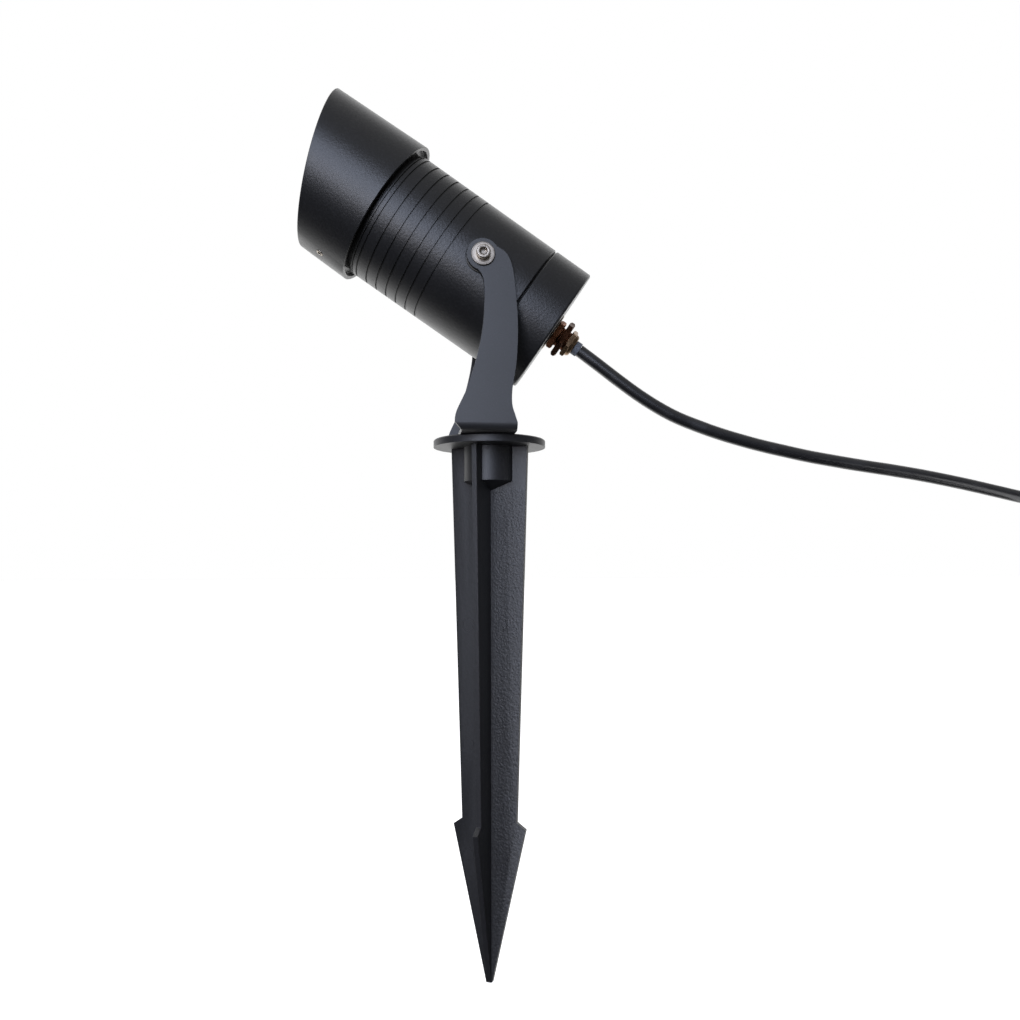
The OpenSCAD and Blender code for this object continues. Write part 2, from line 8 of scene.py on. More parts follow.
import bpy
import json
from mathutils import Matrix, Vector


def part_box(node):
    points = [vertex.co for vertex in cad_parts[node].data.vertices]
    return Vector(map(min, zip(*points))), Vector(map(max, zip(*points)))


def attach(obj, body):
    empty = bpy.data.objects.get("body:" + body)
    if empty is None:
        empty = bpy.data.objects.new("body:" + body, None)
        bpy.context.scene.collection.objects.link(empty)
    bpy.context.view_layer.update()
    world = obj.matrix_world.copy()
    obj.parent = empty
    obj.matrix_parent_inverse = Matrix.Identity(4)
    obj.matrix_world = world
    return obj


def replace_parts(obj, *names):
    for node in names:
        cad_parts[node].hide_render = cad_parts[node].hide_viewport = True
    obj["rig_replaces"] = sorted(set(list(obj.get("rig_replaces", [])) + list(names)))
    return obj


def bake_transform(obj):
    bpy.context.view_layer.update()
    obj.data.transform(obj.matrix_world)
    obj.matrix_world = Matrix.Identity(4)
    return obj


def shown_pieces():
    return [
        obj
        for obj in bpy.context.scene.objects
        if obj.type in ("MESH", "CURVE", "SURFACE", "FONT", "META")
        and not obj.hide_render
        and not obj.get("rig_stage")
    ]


bl_info = {
    "name": "Garden Spike Spotlight",
    "version": (1, 0, 0),
    "blender": (4, 5, 0),
    "location": "View3D > Sidebar > Spike Light",
    "description": "Builds a ground-stake spotlight with its lead, finishes and a studio",
    "category": "Object",
}

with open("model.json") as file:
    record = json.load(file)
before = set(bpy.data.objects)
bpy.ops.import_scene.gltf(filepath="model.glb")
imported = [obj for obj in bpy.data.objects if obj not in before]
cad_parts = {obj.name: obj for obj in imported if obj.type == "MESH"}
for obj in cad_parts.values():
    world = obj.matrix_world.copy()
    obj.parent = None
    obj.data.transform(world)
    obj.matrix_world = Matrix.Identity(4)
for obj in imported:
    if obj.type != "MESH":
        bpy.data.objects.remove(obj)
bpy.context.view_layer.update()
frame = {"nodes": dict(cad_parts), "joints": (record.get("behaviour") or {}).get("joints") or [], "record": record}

import json
import math
from contextlib import contextmanager

import bpy
from bpy.props import FloatProperty, FloatVectorProperty, IntProperty, PointerProperty
from mathutils import Matrix, Vector

MM = 0.001


def middle(node):
    """Middle of a CAD node's box."""
    low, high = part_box(node)
    return (low + high) / 2


# The lamp head's own frame: +Z along the beam, +X its upper side, from the tilt joint
PIVOT = Vector(next(joint["pos_m"] for joint in frame["joints"] if joint["name"] == "tilt"))
BEAM = (middle("front_glass") - PIVOT).normalized()
HEAD = Matrix.Translation(PIVOT) @ Matrix(
    (Vector((0, 1, 0)).cross(BEAM), Vector((0, 1, 0)), BEAM)).transposed().to_4x4()
WORLD = Matrix.Identity(4)


# ---------------------------------------------------------------- properties


def length(name, description, default, low, high):
    """A length property in metres."""
    return FloatProperty(
        name=name, description=description, default=default, min=low, max=high,
        precision=5, subtype="DISTANCE", unit="LENGTH")


def colour(name, description, default):
    """A linear colour property."""
    return FloatVectorProperty(
        name=name, description=description, default=default, min=0, max=1,
        size=3, subtype="COLOR")


def amount(name, description, default, high):
    """A plain number property from zero upwards."""
    return FloatProperty(name=name, description=description, default=default, min=0, max=high)


class LampSizes(bpy.types.PropertyGroup):
    """Sizes of the lamp head, the bracket and the stake."""

    turn_steps: IntProperty(
        name="Turn steps", description="Facets round a turned piece", default=144, min=48, max=256)
    coat_edge: length("Coated edge", "Rounding of powder-coated edges", 0.00035, 0.0001, 0.001)
    groove_edge: length("Groove edge", "Rounding of the grooves' edges", 0.00012, 0.00005, 0.0003)
    sheet_edge: length("Sheet edge", "Rounding of the bracket's cut edges", 0.0005, 0.0001, 0.001)
    metal_edge: length("Metal edge", "Rounding of nuts, washers and screws", 0.00015, 0.00005, 0.0004)
    mould_edge: length("Moulded edge", "Rounding of the plastic stake's edges", 0.0006, 0.0001, 0.001)
    pin_mark_r: length("Pin mark radius", "Radius of the ejector pins' marks", 0.0034, 0.001, 0.005)


class LeadSizes(bpy.types.PropertyGroup):
    """Sizes of the rubber lead and of the plug."""

    diameter: length("Diameter", "Outer diameter of the lead", 0.007, 0.005, 0.009)
    coil_r: length("Coil radius", "Radius of the coil at the middle of its turns", 0.04, 0.035, 0.05)
    relief_ribs: IntProperty(
        name="Relief ribs", description="Ribs on the plug's strain relief", default=5, min=3, max=9)


class FinishColours(bpy.types.PropertyGroup):
    """Linear base colours of the visible finishes."""

    housing: colour("Housing", "Powder coat of the lamp head", (0.016, 0.016, 0.017))
    bracket: colour("Bracket", "Powder coat of the bracket", (0.026, 0.027, 0.030))
    stake: colour("Stake", "Moulded plastic of the stake", (0.016, 0.016, 0.018))
    lead: colour("Lead", "Rubber of the lead", (0.013, 0.013, 0.015))
    brass: colour("Gland brass", "Tarnished brass of the gland", (0.44, 0.185, 0.095))
    sleeve: colour("Sleeve", "Grey rubber of the gland's sleeve", (0.19, 0.21, 0.25))


class StudioLook(bpy.types.PropertyGroup):
    """Camera and light of the studio."""

    lens_mm: FloatProperty(
        name="Lens", description="Focal length in millimetres", default=32.07, min=10, max=200)
    key_power: amount("Key light", "Power in watts", 12.5, 100)
    side_power: amount("Side light", "Power in watts", 2.2, 100)
    top_power: amount("Top light", "Power in watts", 1.3, 100)
    wall_strength: amount("Wall", "How bright the wall behind the spotlight is", 1.5, 5)
    ceiling_strength: amount("Ceiling", "How bright the room is overhead", 0.3, 5)
    paper: colour("Paper", "Colour of the floor and of the backdrop", (0.93, 0.93, 0.93))


class SpikeLightSettings(bpy.types.PropertyGroup):
    """All settings of the spotlight."""

    lamp: PointerProperty(type=LampSizes)
    lead: PointerProperty(type=LeadSizes)
    colours: PointerProperty(type=FinishColours)
    studio: PointerProperty(type=StudioLook)


def settings():
    """The scene's settings."""
    return bpy.context.scene.spike_light


# ------------------------------------------------------------ modelling tools


def deselect():
    """Leaves edit mode and selects nothing."""
    if bpy.context.mode != "OBJECT":
        bpy.ops.object.mode_set(mode="OBJECT")
    bpy.ops.object.select_all(action="DESELECT")


def pick(*pieces):
    """Selects the pieces; the last one is active."""
    deselect()
    for piece in pieces:
        piece.select_set(True)
    bpy.context.view_layer.objects.active = pieces[-1]


def started(name):
    """Names the primitive that was just added."""
    piece = bpy.context.object
    piece.name = piece.data.name = name
    return piece


@contextmanager
def editing(piece):
    """Edit mode with all of the piece's mesh selected."""
    pick(piece)
    bpy.ops.object.mode_set(mode="EDIT")
    bpy.ops.mesh.select_all(action="SELECT")
    yield
    bpy.ops.object.mode_set(mode="OBJECT")


def tidy_mesh(piece):
    """Merges doubled points and turns all faces outwards."""
    with editing(piece):
        bpy.ops.mesh.remove_doubles(threshold=0.001 * MM)
        bpy.ops.mesh.normals_make_consistent(inside=False)


def settle(piece, place):
    """Moves the mesh to its place in the frame and leaves the object at the origin."""
    pick(piece)
    piece.matrix_world = place @ piece.matrix_world
    bpy.ops.object.transform_apply(location=True, rotation=True, scale=True)
    return piece


def apply_modifier(piece, kind, **values):
    """Adds a modifier, sets it up and applies it."""
    pick(piece)
    modifier = piece.modifiers.new(kind.lower(), kind)
    for name, value in values.items():
        setattr(modifier, name, value)
    bpy.ops.object.modifier_apply(modifier=modifier.name)


def turned(name, profile, steps=None):
    """A turned piece: a point is extruded along the profile, then spun about Z.

    The profile's (radius, station) points are in millimetres. They run once round the
    wall, or from the axis back to the axis.
    """
    closed = profile[0][0] > 0 or profile[-1][0] > 0
    outline = [Vector((radius, 0, station)) * MM for radius, station in profile]
    outline += outline[:1] if closed else []
    deselect()
    bpy.ops.mesh.primitive_plane_add(size=MM)
    piece = started(name)
    bpy.ops.object.mode_set(mode="EDIT")
    bpy.ops.mesh.merge(type="CENTER")
    bpy.ops.transform.translate(value=outline[0])
    for start, end in zip(outline, outline[1:]):
        bpy.ops.mesh.extrude_region_move(TRANSFORM_OT_translate={"value": end - start})
    bpy.ops.mesh.select_all(action="SELECT")
    bpy.ops.mesh.spin(
        steps=steps or settings().lamp.turn_steps, angle=math.tau, center=(0, 0, 0), axis=(0, 0, 1))
    tidy_mesh(piece)
    return piece


def cylinder(name, radius, low, high, vertices=64):
    """A closed cylinder on the Z axis, in millimetres. Its first corner points along X."""
    deselect()
    bpy.ops.mesh.primitive_cylinder_add(
        vertices=vertices, radius=radius * MM, depth=(high - low) * MM,
        location=(0, 0, (low + high) / 2 * MM), rotation=(0, 0, math.pi / 2))
    return settle(started(name), WORLD)


def combine(piece, tool, operation):
    """Cuts, joins or intersects a piece with a tool, which is then deleted."""
    apply_modifier(piece, "BOOLEAN", object=tool, operation=operation, solver="EXACT")
    bpy.data.objects.remove(tool)


def refined(node, name):
    """A copy of a CAD node with its triangles merged into clean faces."""
    source = frame["nodes"][node]
    piece = bpy.data.objects.new(name, source.data.copy())
    bpy.context.scene.collection.objects.link(piece)
    pick(piece)
    bpy.ops.mesh.customdata_custom_splitnormals_clear()
    with editing(piece):
        bpy.ops.mesh.remove_doubles(threshold=0.002 * MM)
        bpy.ops.mesh.dissolve_limited(angle_limit=math.radians(0.4))
    return piece


def soften(piece, width, segments=2, sharper_than=30):
    """Rounds the edges sharper than an angle and marks their faces in the attribute "edge"."""
    blank = bpy.data.materials.new("blank")
    piece.data.materials.clear()
    piece.data.materials.append(blank)
    piece.data.materials.append(blank)
    apply_modifier(
        piece, "BEVEL", width=width, segments=segments, limit_method="ANGLE",
        angle_limit=math.radians(sharper_than), material=1)
    marks = [float(face.material_index == 1) for face in piece.data.polygons]
    piece.data.materials.clear()
    piece.data.attributes.new("edge", "FLOAT", "FACE").data.foreach_set("value", marks)
    bpy.data.materials.remove(blank)
    piece.data.polygons.foreach_set("material_index", [0] * len(marks))
    pick(piece)
    bpy.ops.object.shade_smooth()
    apply_modifier(piece, "WEIGHTED_NORMAL", weight=100, keep_sharp=False)


def copied(piece, name, place):
    """A copy with its own mesh, moved to another place."""
    twin = piece.copy()
    twin.data = piece.data.copy()
    twin.name = twin.data.name = name
    bpy.context.scene.collection.objects.link(twin)
    return settle(twin, place)


def hand_over(piece, finish, slot, body, *nodes):
    """Gives a piece its finish and its body, and lets it stand for its CAD nodes."""
    piece.data.materials.clear()
    piece.data.materials.append(finish)
    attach(piece, body)
    if nodes:
        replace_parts(piece, *nodes)


def arc(centre, radius, start, end, steps):
    """Points of an arc in a profile, angles in degrees."""
    angles = [math.radians(start + (end - start) * i / steps) for i in range(steps + 1)]
    return [(centre[0] + radius * math.cos(a), centre[1] + radius * math.sin(a)) for a in angles]


def both_sides():
    """Places of a piece that is modelled along Z and sits on each side of the head."""
    for side, word in ((-1, "near"), (1, "far")):
        yield word, HEAD @ Matrix.Rotation(math.radians(-90 * side), 4, "X")


# ------------------------------------------------------------- shader maths


class Shade:
    """A value in a finish. Python arithmetic on it adds Math nodes."""

    def __init__(self, finish, socket):
        self.finish = finish
        self.socket = socket

    def maths(self, operation, *values):
        return self.finish.node("ShaderNodeMath", {"operation": operation}, values)

    def __add__(self, other):
        return self.maths("ADD", self, other)

    __radd__ = __add__

    def __sub__(self, other):
        return self.maths("SUBTRACT", self, other)

    def __rsub__(self, other):
        return self.maths("SUBTRACT", other, self)

    def __mul__(self, other):
        return self.maths("MULTIPLY", self, other)

    __rmul__ = __mul__

    def rising(self, low, high):
        """0 below one level and 1 above the other, with a smooth rise between them."""
        return self.finish.node(
            "ShaderNodeMapRange", {"interpolation_type": "SMOOTHSTEP"}, {"Value": self, 1: low, 2: high})


class Finish:
    """A procedural material around a Principled shader."""

    def __init__(self, name, **constants):
        self.material = bpy.data.materials.new(name)
        self.material.use_nodes = True
        self.tree = self.material.node_tree
        self.shader = self.tree.nodes["Principled BSDF"]
        for socket, value in constants.items():
            self.shader.inputs[socket.replace("_", " ")].default_value = value
        self.place = self.node("ShaderNodeTexCoord", output="Object")

    def node(self, kind, settings=(), values=(), output=0):
        """Adds a node: its settings first, then its sockets' values or links."""
        made = self.tree.nodes.new(kind)
        for setting, value in dict(settings).items():
            setattr(made, setting, value)
        pairs = values.items() if isinstance(values, dict) else enumerate(values)
        for socket, value in pairs:
            self.join(made.inputs[socket], value)
        return Shade(self, made.outputs[output])

    def join(self, socket, value):
        """Links a value to a socket, or sets it there."""
        if isinstance(value, Shade):
            self.tree.links.new(value.socket, socket)
        else:
            socket.default_value = value

    def noise(self, size, detail=2.0, stretch=(1, 1, 1), where=None):
        """Soft noise from 0 to 1 with features of a size in millimetres."""
        place = self.node(
            "ShaderNodeMapping", values={"Vector": where or self.place, "Scale": stretch})
        return self.node(
            "ShaderNodeTexNoise", values={"Vector": place, "Scale": 1 / (size * MM), "Detail": detail})

    def cells(self, size, where=None):
        """Distance to the nearest cell's middle, for facets and granules."""
        return self.node(
            "ShaderNodeTexVoronoi", values={"Vector": where or self.place, "Scale": 1 / (size * MM)})

    def edge(self):
        """1 on the rounded edges that soften() marked."""
        return self.node("ShaderNodeAttribute", {"attribute_name": "edge"}, output="Fac")

    def mix(self, factor, first, second):
        """Mixes two colours."""
        first, second = ((*c, 1) if isinstance(c, tuple) else c for c in (first, second))
        return self.node(
            "ShaderNodeMix", {"data_type": "RGBA"}, {0: factor, 6: first, 7: second}, output=2)

    def bump(self, height, depth):
        """Raises the surface by a height from 0 to 1 times a depth in millimetres."""
        normal = self.node("ShaderNodeBump", values={"Distance": depth * MM, "Height": height})
        self.join(self.shader.inputs["Normal"], normal)

    def paint(self, base, roughness=None, metallic=None):
        """Feeds the shader's base colour and, if given, its roughness and metallic."""
        self.join(self.shader.inputs["Base Color"], base)
        if roughness is not None:
            self.join(self.shader.inputs["Roughness"], roughness)
        if metallic is not None:
            self.join(self.shader.inputs["Metallic"], metallic)
        return self.material


def times(rgb, factor):
    """A colour made lighter or darker."""
    return tuple(min(1.0, channel * factor) for channel in rgb)


# ----------------------------------------------------------------- finishes


def powder_coat(name, rgb, grain=0.85, depth=0.095, gloss=0.27, shine=0.66, worn=0.45):
    """Fine-grained powder coat with fingerprints' unevenness and rubbed edges."""
    finish = Finish(name, Specular_IOR_Level=shine)
    orange_peel = finish.noise(grain, detail=3)
    speck = finish.cells(grain * 1.6)
    cloud = finish.noise(22, detail=3)
    lighter_edge = finish.edge() * finish.noise(1.6, detail=4).rising(0.42, 0.62)
    coat = finish.mix(orange_peel * 0.7 + cloud * 0.3, times(rgb, 0.72), times(rgb, 1.28))
    coat = finish.mix(speck.rising(0.55, 0.9) * 0.35, coat, times(rgb, 1.9))
    coat = finish.mix(lighter_edge * worn, coat, times(rgb, 3.2))
    finish.bump(orange_peel * 0.65 + speck * 0.35, depth)
    return finish.paint(coat, gloss + cloud * 0.10 + orange_peel * 0.12 - lighter_edge * 0.08)


def turned_steel(name, rgb, roughness):
    """Stainless steel with the lathe's fine rings, painted shade in broad bands round the tilt axis and painted
    highlights on the rims.
    """
    finish = Finish(name, Metallic=1.0)
    offset = finish.node("ShaderNodeVectorMath", {"operation": "SUBTRACT"}, [finish.place, tuple(PIVOT)])
    flat = finish.node("ShaderNodeVectorMath", {"operation": "MULTIPLY"}, [offset, (1, 0, 1)])
    radius = finish.node("ShaderNodeVectorMath", {"operation": "LENGTH"}, [flat], output="Value")
    where = finish.node("ShaderNodeCombineXYZ", values=[radius])
    # Painted shade: broad light and dark bands round the tilt axis; the fine rings are the lathe's.
    painted_band_shade = finish.noise(2.6, detail=1, where=where)
    rings = finish.noise(0.35, detail=2, where=where)
    cloud = finish.noise(3, detail=3)
    shade = painted_band_shade * 0.55 + rings * 0.30 + cloud * 0.15
    metal = finish.mix(shade.rising(0.36, 0.62), times(rgb, 0.50), times(rgb, 1.15))
    # Painted highlight: the rounded rims are made much lighter.
    metal = finish.mix(finish.edge() * 0.8, metal, times(rgb, 1.9))
    finish.bump(rings, 0.006)
    return finish.paint(metal, roughness + cloud * 0.10 - finish.edge() * 0.1)


def worked_metal(name, rgb, roughness, tarnish=0.25, turned_lines=0.5, stained=None):
    """Bare machined metal with fine tool lines, stains and brighter edges."""
    finish = Finish(name, Metallic=1.0)
    lines = finish.noise(0.25, detail=2, stretch=(1, 1, 14))
    cloud = finish.noise(4.5, detail=4)
    pits = finish.noise(0.7, detail=5).rising(0.58, 0.72)
    dull = cloud.rising(0.38, 0.72) * tarnish
    metal = finish.mix(dull, rgb, stained or times(rgb, 0.45))
    metal = finish.mix(finish.edge() * 0.5, metal, times(rgb, 1.35))
    finish.bump(lines * turned_lines + cloud * 0.3 - pits * 0.2, 0.012)
    return finish.paint(metal, roughness + dull * 0.5 + lines * 0.08 + pits * 0.1)


def stake_plastic(name, rgb):
    """Moulded plastic: spark-eroded grain on the fins, and paler corners that are partly wear and partly a painted
    highlight.
    """
    finish = Finish(name, Specular_IOR_Level=0.85)
    place = finish.node("ShaderNodeSeparateXYZ", values=[finish.place])
    across = Shade(finish, place.socket.node.outputs["X"])
    height = Shade(finish, place.socket.node.outputs["Z"])
    erosion = finish.noise(1.15, detail=4, stretch=(1, 1, 0.8))
    pebbles = finish.cells(1.3)
    flow = finish.noise(30, detail=2, stretch=(1, 1, 0.25))
    grained = across.rising(-0.002, 0.004) * (1 - height.rising(-0.024, -0.020)) * 0.75 + 0.25
    lighter_edge = finish.edge() * finish.noise(3, detail=4).rising(0.38, 0.62)
    plastic = finish.mix(erosion * 0.5 + flow * 0.5, times(rgb, 0.75), times(rgb, 1.3))
    plastic = finish.mix(erosion.rising(0.50, 0.66) * grained * 0.65, plastic, times(rgb, 2.6))
    # Paler fin edges: partly wear, partly a painted highlight along the edges.
    plastic = finish.mix(lighter_edge * 0.7, plastic, times(rgb, 4.5))
    finish.bump((erosion * 0.65 + pebbles * 0.35) * grained, 0.26)
    return finish.paint(plastic, 0.40 + erosion * 0.12 - lighter_edge * 0.08 + flow * 0.06)


def smooth_moulding(name, rgb, gloss=0.4, variation=0.25, depth=0.010):
    """Plain moulded plastic or ceramic with flow marks and a faint texture."""
    finish = Finish(name)
    fine = finish.noise(0.5, detail=3)
    flow = finish.noise(9, detail=3)
    scuff = finish.edge() * finish.noise(1.2, detail=3).rising(0.45, 0.6)
    body = finish.mix(flow * 0.7 + fine * 0.3, times(rgb, 1 - variation), times(rgb, 1 + variation))
    body = finish.mix(scuff * 0.35, body, times(rgb, 1.9))
    finish.bump(fine, depth)
    return finish.paint(body, gloss + fine * 0.12 + flow * 0.06)


def lead_rubber(name, rgb):
    """Extruded rubber sheath: draw lines along the lead, dust and a soft sheen."""
    finish = Finish(name, Specular_IOR_Level=1.0, Coat_Weight=0.3, Coat_Roughness=0.35)
    along = finish.node("ShaderNodeUVMap", {"uv_map": "lead"})
    draw = finish.node("ShaderNodeTexNoise", values={
        "Vector": finish.node("ShaderNodeMapping", values={"Vector": along, "Scale": (6, 46, 1)}),
        "Scale": 1.0, "Detail": 3.0})
    dust = finish.noise(14, detail=4).rising(0.45, 0.75)
    fine = finish.noise(0.6, detail=2)
    sheath = finish.mix(draw * 0.6 + fine * 0.4, times(rgb, 0.7), times(rgb, 1.5))
    sheath = finish.mix(dust * 0.25, sheath, times(rgb, 3.0))
    finish.bump(draw * 0.6 + fine * 0.4, 0.030)
    return finish.paint(sheath, 0.28 + dust * 0.16 + fine * 0.08)


def soft_rubber(name, rgb, gloss=0.5):
    """Matt rubber or silicone with a fine bloom."""
    finish = Finish(name, Sheen_Weight=0.15, Sheen_Roughness=0.4)
    bloom = finish.noise(3.5, detail=4)
    fine = finish.noise(0.4, detail=2)
    rubber = finish.mix(bloom * 0.6 + fine * 0.4, times(rgb, 0.75), times(rgb, 1.25))
    finish.bump(fine * 0.6 + bloom * 0.4, 0.020)
    return finish.paint(rubber, gloss + bloom * 0.15)


def toughened_glass(name):
    """Clear pane: faint dust, a green tinge and a nearly smooth face."""
    finish = Finish(name, IOR=1.52, Transmission_Weight=1.0)
    dust = finish.noise(2.2, detail=5).rising(0.5, 0.8)
    tinge = finish.mix(finish.edge() * 0.8, (0.96, 0.985, 0.97), (0.55, 0.80, 0.68))
    finish.bump(finish.noise(16, detail=1), 0.004)
    return finish.paint(tinge, dust * 0.06 + 0.01)


def mirrored_bowl(name):
    """Vacuum-metallised plastic pressed into small facets."""
    finish = Finish(name, Metallic=1.0)
    facets = finish.cells(4.2)
    haze = finish.noise(8, detail=4)
    metal = finish.mix(haze * 0.4, (0.93, 0.94, 0.95), (0.80, 0.81, 0.83))
    finish.bump(facets, 0.5)
    return finish.paint(metal, 0.10 + haze * 0.08)


def phosphor_gel(name):
    """Yellow silicone over the light-emitting dies, which show as a faint grid."""
    finish = Finish(name, Subsurface_Weight=0.1, Subsurface_Radius=(0.001, 0.0008, 0.0003))
    dies = finish.node(
        "ShaderNodeTexVoronoi", {"distance": "CHEBYCHEV"},
        {"Vector": finish.place, "Scale": 1 / (1.4 * MM), "Randomness": 0.0})
    gel = finish.mix(dies.rising(0.25, 0.45), (0.78, 0.60, 0.08), (0.90, 0.76, 0.20))
    finish.bump(finish.noise(1.5), 0.02)
    return finish.paint(gel, 0.25 + dies * 0.1)


def circuit_board(name):
    """Green solder resist with the tracks' relief under it."""
    finish = Finish(name, Coat_Weight=0.3, Coat_Roughness=0.15)
    tracks = finish.node(
        "ShaderNodeTexBrick", {"offset": 0.35, "squash": 1.4},
        {"Vector": finish.place, "Scale": 1 / (9 * MM), "Mortar Size": 0.06}, output="Fac")
    weave = finish.noise(0.5, detail=3)
    resist = finish.mix(tracks, (0.015, 0.11, 0.045), (0.03, 0.20, 0.08))
    resist = finish.mix(weave * 0.3, resist, (0.01, 0.07, 0.03))
    finish.bump(tracks * 0.7 + weave * 0.3, 0.03)
    return finish.paint(resist, 0.30 + weave * 0.15)


def hook_tape(name):
    """Woven hook-and-loop tape."""
    finish = Finish(name, Sheen_Weight=0.5, Sheen_Roughness=0.5)
    ribs = finish.node(
        "ShaderNodeTexWave", {"bands_direction": "Y"},
        {"Vector": finish.place, "Scale": 0.16 / MM, "Distortion": 1.2, "Detail": 2.0})
    fuzz = finish.noise(0.5, detail=4)
    tape = finish.mix(ribs * 0.6 + fuzz * 0.4, (0.008, 0.008, 0.010), (0.040, 0.040, 0.045))
    finish.bump(ribs * 0.5 + fuzz * 0.5, 0.25)
    return finish.paint(tape, 0.8 + fuzz * 0.15)


def studio_paper(name, rgb):
    """Seamless paper of the floor and the stand, lit evenly from within."""
    finish = Finish(name, Specular_IOR_Level=0.1, Emission_Color=(1, 1, 1, 1), Emission_Strength=0.78)
    tooth = finish.noise(2.5, detail=3)
    finish.bump(tooth, 0.03)
    return finish.paint(finish.mix(tooth, times(rgb, 0.99), rgb), 0.85 + tooth * 0.1)


def make_finishes():
    """One finish for each of the record's material slots."""
    rgb = settings().colours
    housing, bracket, stake, lead, brass, sleeve = (
        tuple(c) for c in (rgb.housing, rgb.bracket, rgb.stake, rgb.lead, rgb.brass, rgb.sleeve))
    return {
        "powder_black": powder_coat("black_powder_coat", housing),
        "powder_smooth": powder_coat(
            "bracket_powder_coat", bracket, grain=0.3, depth=0.008, gloss=0.36, shine=1.0, worn=0.16),
        "stainless": turned_steel("turned_stainless", (0.46, 0.41, 0.35), 0.32),
        "zinc_steel": worked_metal("zinc_plated_steel", (0.62, 0.64, 0.66), 0.30, tarnish=0.3),
        "gland_brass": worked_metal(
            "tarnished_brass", brass, 0.38, tarnish=0.55, stained=times(brass, 0.35)),
        # Painted shade: the lock nut's finish is the gland's brass darkened to about a fifth.
        "gland_dark_brass": worked_metal("blackened_brass", times(brass, 0.22), 0.42, tarnish=0.5),
        "gland_bronze": worked_metal("rubbed_bronze", (0.26, 0.17, 0.10), 0.30, tarnish=0.45),
        "insert_brass": worked_metal("plain_brass", (0.78, 0.57, 0.25), 0.25, tarnish=0.2),
        "stake_plastic": stake_plastic("eroded_stake_plastic", stake),
        "toughened_glass": toughened_glass("clear_toughened_glass"),
        "silicone": soft_rubber("clear_silicone", (0.62, 0.62, 0.60), 0.35),
        "seal_rubber": soft_rubber("red_silicone", (0.36, 0.03, 0.02), 0.4),
        "sleeve_rubber": soft_rubber("grey_sleeve_rubber", sleeve, 0.5),
        "lead_rubber": lead_rubber("black_lead_rubber", lead),
        "reflector_metal": mirrored_bowl("metallised_bowl"),
        "board_aluminium": worked_metal("board_aluminium", (0.78, 0.79, 0.80), 0.35, tarnish=0.2),
        "ceramic": smooth_moulding("white_ceramic", (0.80, 0.79, 0.74), 0.25, 0.06),
        "phosphor": phosphor_gel("yellow_phosphor_gel"),
        "circuit_board": circuit_board("green_circuit_board"),
        "component_black": smooth_moulding("black_component", (0.022, 0.022, 0.026), 0.35),
        "transformer_tape": smooth_moulding("yellow_transformer_tape", (0.62, 0.42, 0.06), 0.35),
        "terminal_green": smooth_moulding("green_terminal_plastic", (0.04, 0.20, 0.06), 0.4),
        "wire_insulation": smooth_moulding("wire_insulation", (0.16, 0.045, 0.03), 0.35),
        "nylon": smooth_moulding("natural_nylon", (0.70, 0.68, 0.62), 0.45, 0.08),
        "plug_plastic": smooth_moulding("plug_moulding", (0.018, 0.018, 0.020), 0.48, 0.3, 0.03),
        "nickel": worked_metal("nickel_plated_pins", (0.72, 0.70, 0.66), 0.16, tarnish=0.1),
        "strap": hook_tape("black_hook_tape"),
    }


FINISHES = {}
SLOTS = {part["node"]: part["material_slot"] for part in frame["record"]["subparts"]}


def finish_of(slot):
    """The finish of a material slot. All of them are made on the first call."""
    if not FINISHES:
        FINISHES.update(make_finishes())
    return FINISHES[slot]


def fitted(piece, body, *nodes):
    """Hands a piece over with the finish of the CAD nodes that it stands for."""
    slot = SLOTS[nodes[0]]
    hand_over(piece, finish_of(slot), slot, body, *nodes)
    return piece


def shared(pieces, body, node):
    """Hands over several pieces that stand for one CAD node together."""
    for index, piece in enumerate(pieces):
        slot = SLOTS[node]
        hand_over(piece, finish_of(slot), slot, body, *([node] if index == 0 else []))


def turned_piece(name, node, profile, edge, steps=None, place=HEAD, body="lamp_head", **rounding):
    """Turns a piece, rounds its edges, puts it in its place and hands it over."""
    piece = turned(name, profile, steps)
    soften(piece, edge, **rounding)
    fitted(settle(piece, place), body, node)


# ------------------------------------------------------------------- studio

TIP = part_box("ground_stake")[0].z
LEAD_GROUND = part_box("cord_coil")[0].z
STAND_SIZE = (0.175, 0.125, 0.006)
STAND_TURN = math.radians(54.3)
STAND_SHIFT = Vector((-0.0205, -0.0224, 0))
STAND_POST = 0.012
STAND_EDGE = 0.002
FLOOR_SIZE = 24
CAMERA_PLACE = Vector((-43.2, -484.8, -62.4)) * MM
CAMERA_TURN = (93.41, 0.13, -6.38)
SENSOR_MM = 36
# The soft boxes: name, place, side length, the property with the power, colour
SOFT_BOXES = (
    ("key_light", (-0.46, -1.32, 0.40), 1.00, "key_power", (0.71, 0.79, 1.0)),
    ("side_light", (-0.62, -1.20, -0.02), 0.50, "side_power", (1.0, 0.96, 0.98)),
    ("top_light", (-0.25, 0.35, 1.30), 0.60, "top_power", (1.0, 0.98, 0.95)),
)
LIGHTS_AIM = Vector((0, 0, 0.03))
WALL_FADE = (0.15, 0.95)
CEILING_FADE = (-0.1, 1.0)
ROOM_GLOW = 0.03


